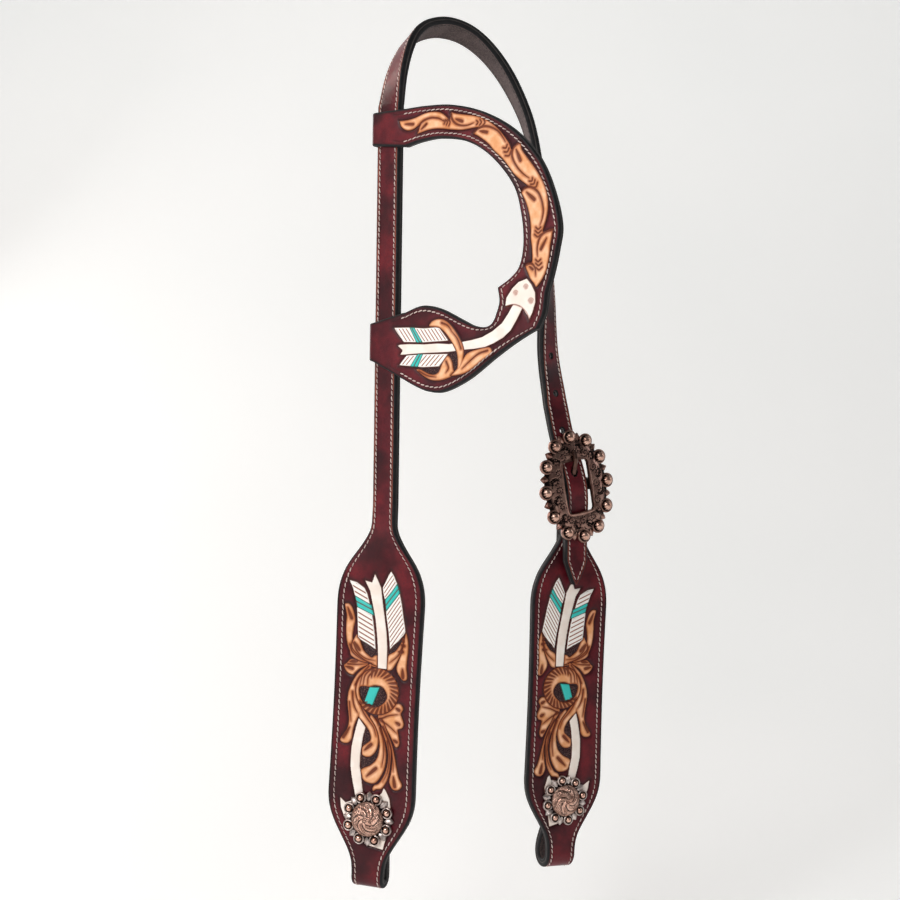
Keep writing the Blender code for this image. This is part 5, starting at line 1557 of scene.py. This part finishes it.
def fern_arm(centre, reach, start, flip, strokes):
    """An arm of a pinwheel: a curved spine with short curved strokes along both its sides."""
    shares = np.linspace(0.08, 1, 14)
    spine = polar(centre, reach * shares, start + flip * shares * 1.9)
    lines = [spine]
    for share in np.linspace(0.2, 0.97, strokes):
        k = share * 13
        at = np.array([np.interp(k, range(14), spine[:, axis]) for axis in (0, 1)])
        ahead = unit(spine[min(int(k) + 1, 13)] - spine[int(k) - 1])
        side = np.array((-ahead[1], ahead[0])) * -flip
        size = reach * 0.36 * (0.5 + 0.6 * share)
        for across, forward, end_across, end_forward in ((0.42, 0.30, 0.66, 0.95), (-0.3, 0.34, -0.46, 0.85)):
            lines.append(np.array((at, at + side * size * across + ahead * size * forward,
                                   at + side * size * end_across + ahead * size * end_forward)))
    return lines


print("a fern arm has", len(fern_arm((0, 0), 1.0, 0.0, 1, strokes=8)), "lines")


# %% Cutting lines into a casting
def engrave(u, v, lines, width):
    """1 on an engraved line, 0 beside it, in millimetres."""
    deep = np.zeros(u.shape)
    for line in lines:
        d = beside_line(line, np.full(len(line), width), u, v)
        deep = np.maximum(deep, np.clip(d / width + 0.45, 0, 1))
    return deep


def height_field(plan, height, recess_and_shade, closed, low):
    """A skin over a (rings, count, 2) plan. A wall goes down to low, and round a window if open."""
    rings, count = plan.shape[:2]
    top = np.concatenate([plan, height[..., None]], axis=2).reshape(-1, 3)
    points = np.concatenate([top, np.concatenate([plan[-1], np.full((count, 1), low)], axis=1)])
    faces = []
    for r in range(rings):
        for k in range(count):
            a, b = r * count + k, r * count + (k + 1) % count
            faces.append((a, a + count, b + count, b))
    last = rings * count
    if closed:
        faces += [tuple(range(count)), tuple(reversed(range(last, last + count)))]
    else:
        base = len(points)
        points = np.concatenate([points, np.concatenate([plan[0], np.full((count, 1), low)], axis=1)])
        for k in range(count):
            after = (k + 1) % count
            faces.append((k, after, base + after, base + k))
            faces.append((base + k, base + after, last + after, last + k))
    return points, faces, np.concatenate([recess_and_shade.ravel(), np.full(len(points) - last, 0.4)])


# %% The conchos
CONCHO_RING, LEAF_RING, DOME, RISE_MM = 12.6, 10.2, 10.3, 4.2
DOME_RINGS, SPOKES = 64, 216
CONCHO_CUT, BUCKLE_CUT = 0.26, 0.28


def concho_dome():
    """The engraved dome and the dish round it, in metres on the concho's own place."""
    dish = [DOME + 0.25, DOME + 0.6, CONCHO_RING - 0.6, CONCHO_RING + 0.3, CONCHO_RING + 0.9]
    radii = np.concatenate([np.linspace(0.15, DOME, DOME_RINGS), dish])
    angles = np.arange(SPOKES) * math.tau / SPOKES
    plan = np.stack([radii[:, None] * np.cos(angles), radii[:, None] * np.sin(angles)], axis=2)
    ball = (DOME**2 + RISE_MM**2) / (2 * RISE_MM)
    level = 2.1 + RISE_MM - ball + np.sqrt(np.maximum(ball**2 - radii**2, 0))
    level[DOME_RINGS:] = (1.75, 1.5, 1.5, 1.4, 0.9)
    lines = []
    for k in range(6):
        turn = math.tau * k / 6 + 0.4
        lines += fern_arm((0, 0), reach=8.9, start=turn, flip=1, strokes=13)
        lines += scroll_lines(round_point(7.4, turn + 1.1), size=1.5, turns=1.3, start=turn + 3.4, flip=1)
    lines += scroll_lines((0, 0), size=1.6, turns=1.5, start=0.6, flip=1)
    deep = engrave(plan[..., 0], plan[..., 1], lines, 0.17)
    inside = (radii < DOME - 0.5)[:, None]
    height = np.repeat(level[:, None], SPOKES, axis=1) - CONCHO_CUT * deep * inside
    # Painted shade: the dome darkens over its outer flank towards its foot
    painted_flank_shade = 0.55 * np.clip((radii / DOME - 0.62) / 0.38, 0, 1)[:, None]
    recess_and_shade = np.where(inside, np.maximum(deep * 0.58, painted_flank_shade), 0.6)
    recess_and_shade[DOME_RINGS - 1:DOME_RINGS + 2] = 0.95
    return height_field(plan * MM, height * MM, recess_and_shade, True, 0)


def concho(name, cheek, turn, body, dome):
    place = cheek.moved(0, -CONCHO_DROP, FACE_TOP + FIT_GAP)
    around = np.arange(8) * math.tau / 8 + math.radians(turn)
    spots = [(CONCHO_RING * math.cos(t) * MM, CONCHO_RING * math.sin(t) * MM, 0) for t in around]
    cups = turned(*cup_profile(cup=3.35 * MM, berry=1.9 * MM, height=2.2 * MM), 20, spots)
    leaves = [(LEAF_RING * math.cos(t) * MM, LEAF_RING * math.sin(t) * MM, t) for t in around + math.tau / 16]
    tips = leaf_bits(leaves, length=5.6 * MM, width=5.2 * MM, height=2.2 * MM)
    casting(name + "_rim", place, [cups, tips], pewter, body)
    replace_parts(casting(name + "_dome", place, [dome], copper, body), name)
    berries = turned(*berry_profile(berry=1.85 * MM, height=1.7 * MM), 16, spots)
    casting(name + "_berries", place, [berries], copper, body)


shared_dome = concho_dome()
concho("left_concho", LEFT_CHEEK, 22.5, "strap", shared_dome)
concho("right_concho", RIGHT_CHEEK, 12, "right_cheek", shared_dome)
print("conchos:", DOME * 2, "mm domes")

# %% [markdown]
# ## The cart buckle
# An oval casting with a window. The billet comes down over the bar behind it, and the tongue pins
# it. The plate swells between the window and the berries, and is engraved with leaves.

# %% The buckle's plate
WINDOW_WIDTH, WINDOW_HEIGHT, WINDOW_SQUARE = 18.6, 32.0, 12
RIM_BACK = (BILLET_LOW + FACE_TOP + 0.4 * MM) / MM
WINDOW_LIFT = 1.6
LUG_RADIUS, LUG_TOP = 3.6 * MM, (RIM_BACK + 2) * MM
RIM_STEPS, BERRIES, BERRY_SIDES = 480, 12, 22
SWELL = ((0, 0.04, 0.08, 0.12, 0.3, 0.5, 0.7, 0.84, 0.96, 1.0), (1.5, 2.5, 2.6, 2.2, 2.75, 2.95, 2.7, 2.1, 1.6, 1.1))


def window_reach(angle):
    """Points of the window's rounded outline at some angles."""
    x, y = np.cos(angle), np.sin(angle)
    size = np.abs(2 * x / WINDOW_WIDTH) ** WINDOW_SQUARE + np.abs(2 * y / WINDOW_HEIGHT) ** WINDOW_SQUARE
    return np.stack([x, y], axis=-1) / (size ** (1 / WINDOW_SQUARE))[..., None]


def oval(turn):
    return RING_WIDTH / 2 * math.cos(turn), RING_HEIGHT / 2 * math.sin(turn)


print("window %.1f x %.1f mm" % (WINDOW_WIDTH, WINDOW_HEIGHT))


# %% Engrave and raise the plate
def buckle_engraving():
    lines = []
    for k in range(BERRIES):
        t = math.tau * k / BERRIES
        for offset, side in ((0.0, 1), (0.26, -1)):
            middle = np.array((RING_WIDTH / 2 / MM * math.cos(t + offset), RING_HEIGHT / 2 / MM * math.sin(t + offset)))
            inner = window_reach(np.array([math.atan2(middle[1], middle[0])]))[0]
            wide = np.linalg.norm(middle - inner)
            scroll_share, fern_share = (0.36, 0.62) if side > 0 else (0.58, 0.3)
            lines += scroll_lines(tuple(inner + (middle - inner) * scroll_share), min(2.5, 0.22 * wide), 1.4,
                                  t + 2.0 * side, side)
            lines += fern_arm(tuple(inner + (middle - inner) * fern_share), 0.42 * wide, t + 1.2 * side, -side, 8)
    return lines


def buckle_plate():
    turns = np.arange(RIM_STEPS) * math.tau / RIM_STEPS
    rim = np.stack([RING_WIDTH / 2 / MM * np.cos(turns), RING_HEIGHT / 2 / MM * np.sin(turns)], axis=1)
    opening = window_reach(np.arctan2(rim[:, 1], rim[:, 0]))
    shares = np.concatenate([(0.0, 0.015, 0.04, 0.07, 0.10), np.linspace(0.13, 0.92, 40), (0.96, 0.985, 1.0)])
    plan = opening[None] + (rim - opening)[None] * shares[:, None, None]
    height = np.repeat((RIM_BACK + WINDOW_LIFT * (1 - shares) + np.interp(shares, *SWELL))[:, None], RIM_STEPS, axis=1)
    deep = engrave(plan[..., 0], plan[..., 1], buckle_engraving(), 0.2)
    engraved = ((shares > 0.13) & (shares < 0.93))[:, None]
    recess_and_shade = np.where(engraved, 0.2 + deep * 0.75, 0.15)
    recess_and_shade = np.maximum(recess_and_shade, 0.8 * np.clip((shares - 0.62) / 0.3, 0, 1)[:, None])
    recess_and_shade[0] = 0.5
    plate = height_field(plan * MM, (height - BUCKLE_CUT * deep * engraved) * MM, recess_and_shade, False, 0)
    plate[0][-2 * RIM_STEPS:-RIM_STEPS, 2] = RIM_BACK * MM
    plate[0][-RIM_STEPS:, 2] = (RIM_BACK + WINDOW_LIFT) * MM
    return plate


def bar_lug(side):
    """The lug that holds one end of the bar: round below, square where it meets the plate."""
    turns = np.linspace(math.pi, math.tau, 13)
    section = [(LUG_RADIUS * math.cos(a), LUG_RADIUS * math.sin(a)) for a in turns]
    section += [(LUG_RADIUS, LUG_TOP), (-LUG_RADIUS, LUG_TOP)]
    ends = [(WINDOW_WIDTH / 2 + 0.3) * side * MM, (WINDOW_WIDTH / 2 + 3.9) * side * MM]
    points = np.array([(end, up, out) for end in ends for up, out in section])
    size = len(section)
    faces = [(k, (k + 1) % size, size + (k + 1) % size, size + k) for k in range(size)]
    faces += [tuple(range(size - 1, -1, -1)), tuple(range(size, 2 * size))]
    return points, [face[::-1] for face in faces] if side < 0 else faces, np.full(len(points), 0.5)


# %% The buckle's rim, and the whole buckle
def buckle_leaves():
    leaves = []
    for k in range(BERRIES):
        t = math.tau * (k + 0.5) / BERRIES
        x, y = oval(t)
        outward = math.atan2(math.sin(t) / RING_HEIGHT, math.cos(t) / RING_WIDTH)
        back = 2.6 * MM
        leaves.append((x - back * math.cos(outward), y - back * math.sin(outward), outward))
    points, faces, dark = leaf_bits(leaves, length=5.6 * MM, width=5.0 * MM, height=2.4 * MM)
    points[:, 2] += (RIM_BACK + 0.2) * MM
    return points, faces, dark


def berries_with_painted_glint(spots):
    profile = berry_profile(berry=3.3 * MM, height=2.3 * MM)[0]
    points, faces, ring = turned(profile, range(len(profile)), BERRY_SIDES, spots)
    # Black where each berry sits in its cup, and painted shade further up its lower half. Every other strip round it is
    # darker up to near the top: painted stripes for a radial glint.
    glint_stripe = (np.arange(len(ring)) % BERRY_SIDES) % 2
    dark = np.clip(1.0 - 0.19 * ring, 0, 1) + 0.38 * glint_stripe * (ring < 7)
    return points, faces, np.clip(dark, 0, 1)


spots = [(*oval(math.tau * k / BERRIES), (RIM_BACK + 0.3) * MM) for k in range(BERRIES)]
plate = casting("buckle_engraved_frame", BUCKLE, [buckle_plate(), bar_lug(-1), bar_lug(1)], bronze, "strap")
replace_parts(plate, "buckle_frame")
cups = turned(*cup_profile(cup=4.7 * MM, berry=3.3 * MM, height=2.4 * MM), BERRY_SIDES, spots)
casting("buckle_berry_rim", BUCKLE, [cups, buckle_leaves()], bronze, "strap")
casting("buckle_berries", BUCKLE, [berries_with_painted_glint(spots)], copper, "strap")
print("buckle %.1f x %.1f mm between berries" % (RING_WIDTH / MM, RING_HEIGHT / MM))

# %% Screws, bar and tongue keep the shape of the solids
for node in ("left_concho_screw", "right_concho_screw", "fold_screw_post", "fold_screw", "buckle_bar", "buckle_tongue"):
    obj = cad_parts[node]
    obj.data.materials.clear()
    obj.data.materials.append(tongue_metal if node == "buckle_tongue" else steel)
print("carried over: screws, bar, tongue")

# %% [markdown]
# ## Studio
# The real photograph was taken against white with soft light from the front left. Panels at the
# sides, over the crown and behind draw the thin highlights along the edges. A pale sweep stands
# behind, far enough away that the straps cast no hard shadow on it.

# %% Sweep
SWEEP_LOW, SWEEP_RADIUS = -0.60, 1.5


def sweep():
    """A paper floor that curves up into a wall and glows a little more with its height."""
    profile = [(-2.2, SWEEP_LOW), (0.0, SWEEP_LOW)]
    for angle in np.linspace(0, math.pi / 2, 24):
        profile.append((0.05 + SWEEP_RADIUS * math.sin(angle), SWEEP_LOW + SWEEP_RADIUS * (1 - math.cos(angle))))
    profile.append((1.55, 2.4))
    points = [(x, y, z) for x in (-2.6, 2.6) for y, z in profile]
    size = len(profile)
    faces = [(k, k + 1, size + k + 1, size + k) for k in range(size - 1)]
    paper = Recipe("matt_white_paper")
    tint = paper.mix(paper.ramp(paper.noise(400, 1), 0.3, 0.7), "#ECEDEC", "#F0F0EF")
    glow = paper.span(paper.add("SeparateXYZ", {0: paper.place()}, "Z"), -0.6, 0.25, 0.27, 0.42)
    paper.done(Base_Color=tint, Roughness=0.9, Emission_Color="#F2F3F1", Emission_Strength=glow)
    return mesh_piece("studio_sweep", points, faces, [paper.material], 80)


sweep()
print("sweep from", SWEEP_LOW, "m")

# %% Lights: name, place, target, size, power and tint
LIGHTS = (
    ("front_softbox", (-0.65, -1.35, 0.7), (0.02, 0, -0.28), (0.9, 0.9), 15.5, (1.0, 0.99, 0.975)),
    ("left_strip", (-1.3, -0.55, -0.1), (-0.02, 0, -0.27), (0.25, 1.0), 2.0, (1.0, 0.99, 0.98)),
    ("upper_left_panel", (-0.75, -0.85, 0.2), (0.08, 0, -0.15), (0.3, 0.3), 3.2, (1.0, 0.98, 1.0)),
    ("crown_panel", (-1.05, 0.35, 0.66), (-0.02, 0, -0.05), (0.4, 0.4), 5.0, (1.0, 0.84, 0.76)),
    ("right_strip", (1.2, 0.05, 0.1), (0.05, 0, -0.3), (0.3, 0.9), 1.6, (0.97, 0.98, 1.0)),
    ("back_panel", (-0.95, 0.9, -0.05), (0.04, 0.02, -0.15), (0.45, 0.8), 5.0, (1.0, 0.98, 0.97)),
)
for name, at, target, size, power, tint in LIGHTS:
    data = bpy.data.lights.new(name, "AREA")
    data.shape = "RECTANGLE"
    data.size, data.size_y = size
    data.energy = power
    data.color = tint
    lamp = bpy.data.objects.new(name, data)
    lamp.location = at
    lamp.rotation_euler = (Vector(target) - Vector(at)).to_track_quat("-Z", "Y").to_euler()
    bpy.context.scene.collection.objects.link(lamp)
world = bpy.data.worlds.new("soft_room")
bpy.context.scene.world = world
world.use_nodes = True
world.node_tree.nodes["Background"].inputs[0].default_value = linear("#F4F5F7")
world.node_tree.nodes["Background"].inputs[1].default_value = 0.14
bpy.context.scene.view_settings.view_transform = "Standard"
print("lights:", len(LIGHTS))

# %% Camera
CAMERA_AT = (4.1916 * MM, -998 * MM, -251.496 * MM)
SENSOR = 36.0
PICTURE_AT, PICTURE_WIDTH = 0.95, 0.513
camera_data = bpy.data.cameras.new("photo_camera")
camera_data.sensor_width = SENSOR
camera_data.lens = SENSOR * PICTURE_AT / PICTURE_WIDTH
camera = bpy.data.objects.new("photo_camera", camera_data)
camera.location = CAMERA_AT
camera.rotation_euler = (math.pi / 2, 0, 0)
bpy.context.scene.collection.objects.link(camera)
bpy.context.scene.camera = camera
print("camera at", CAMERA_AT)
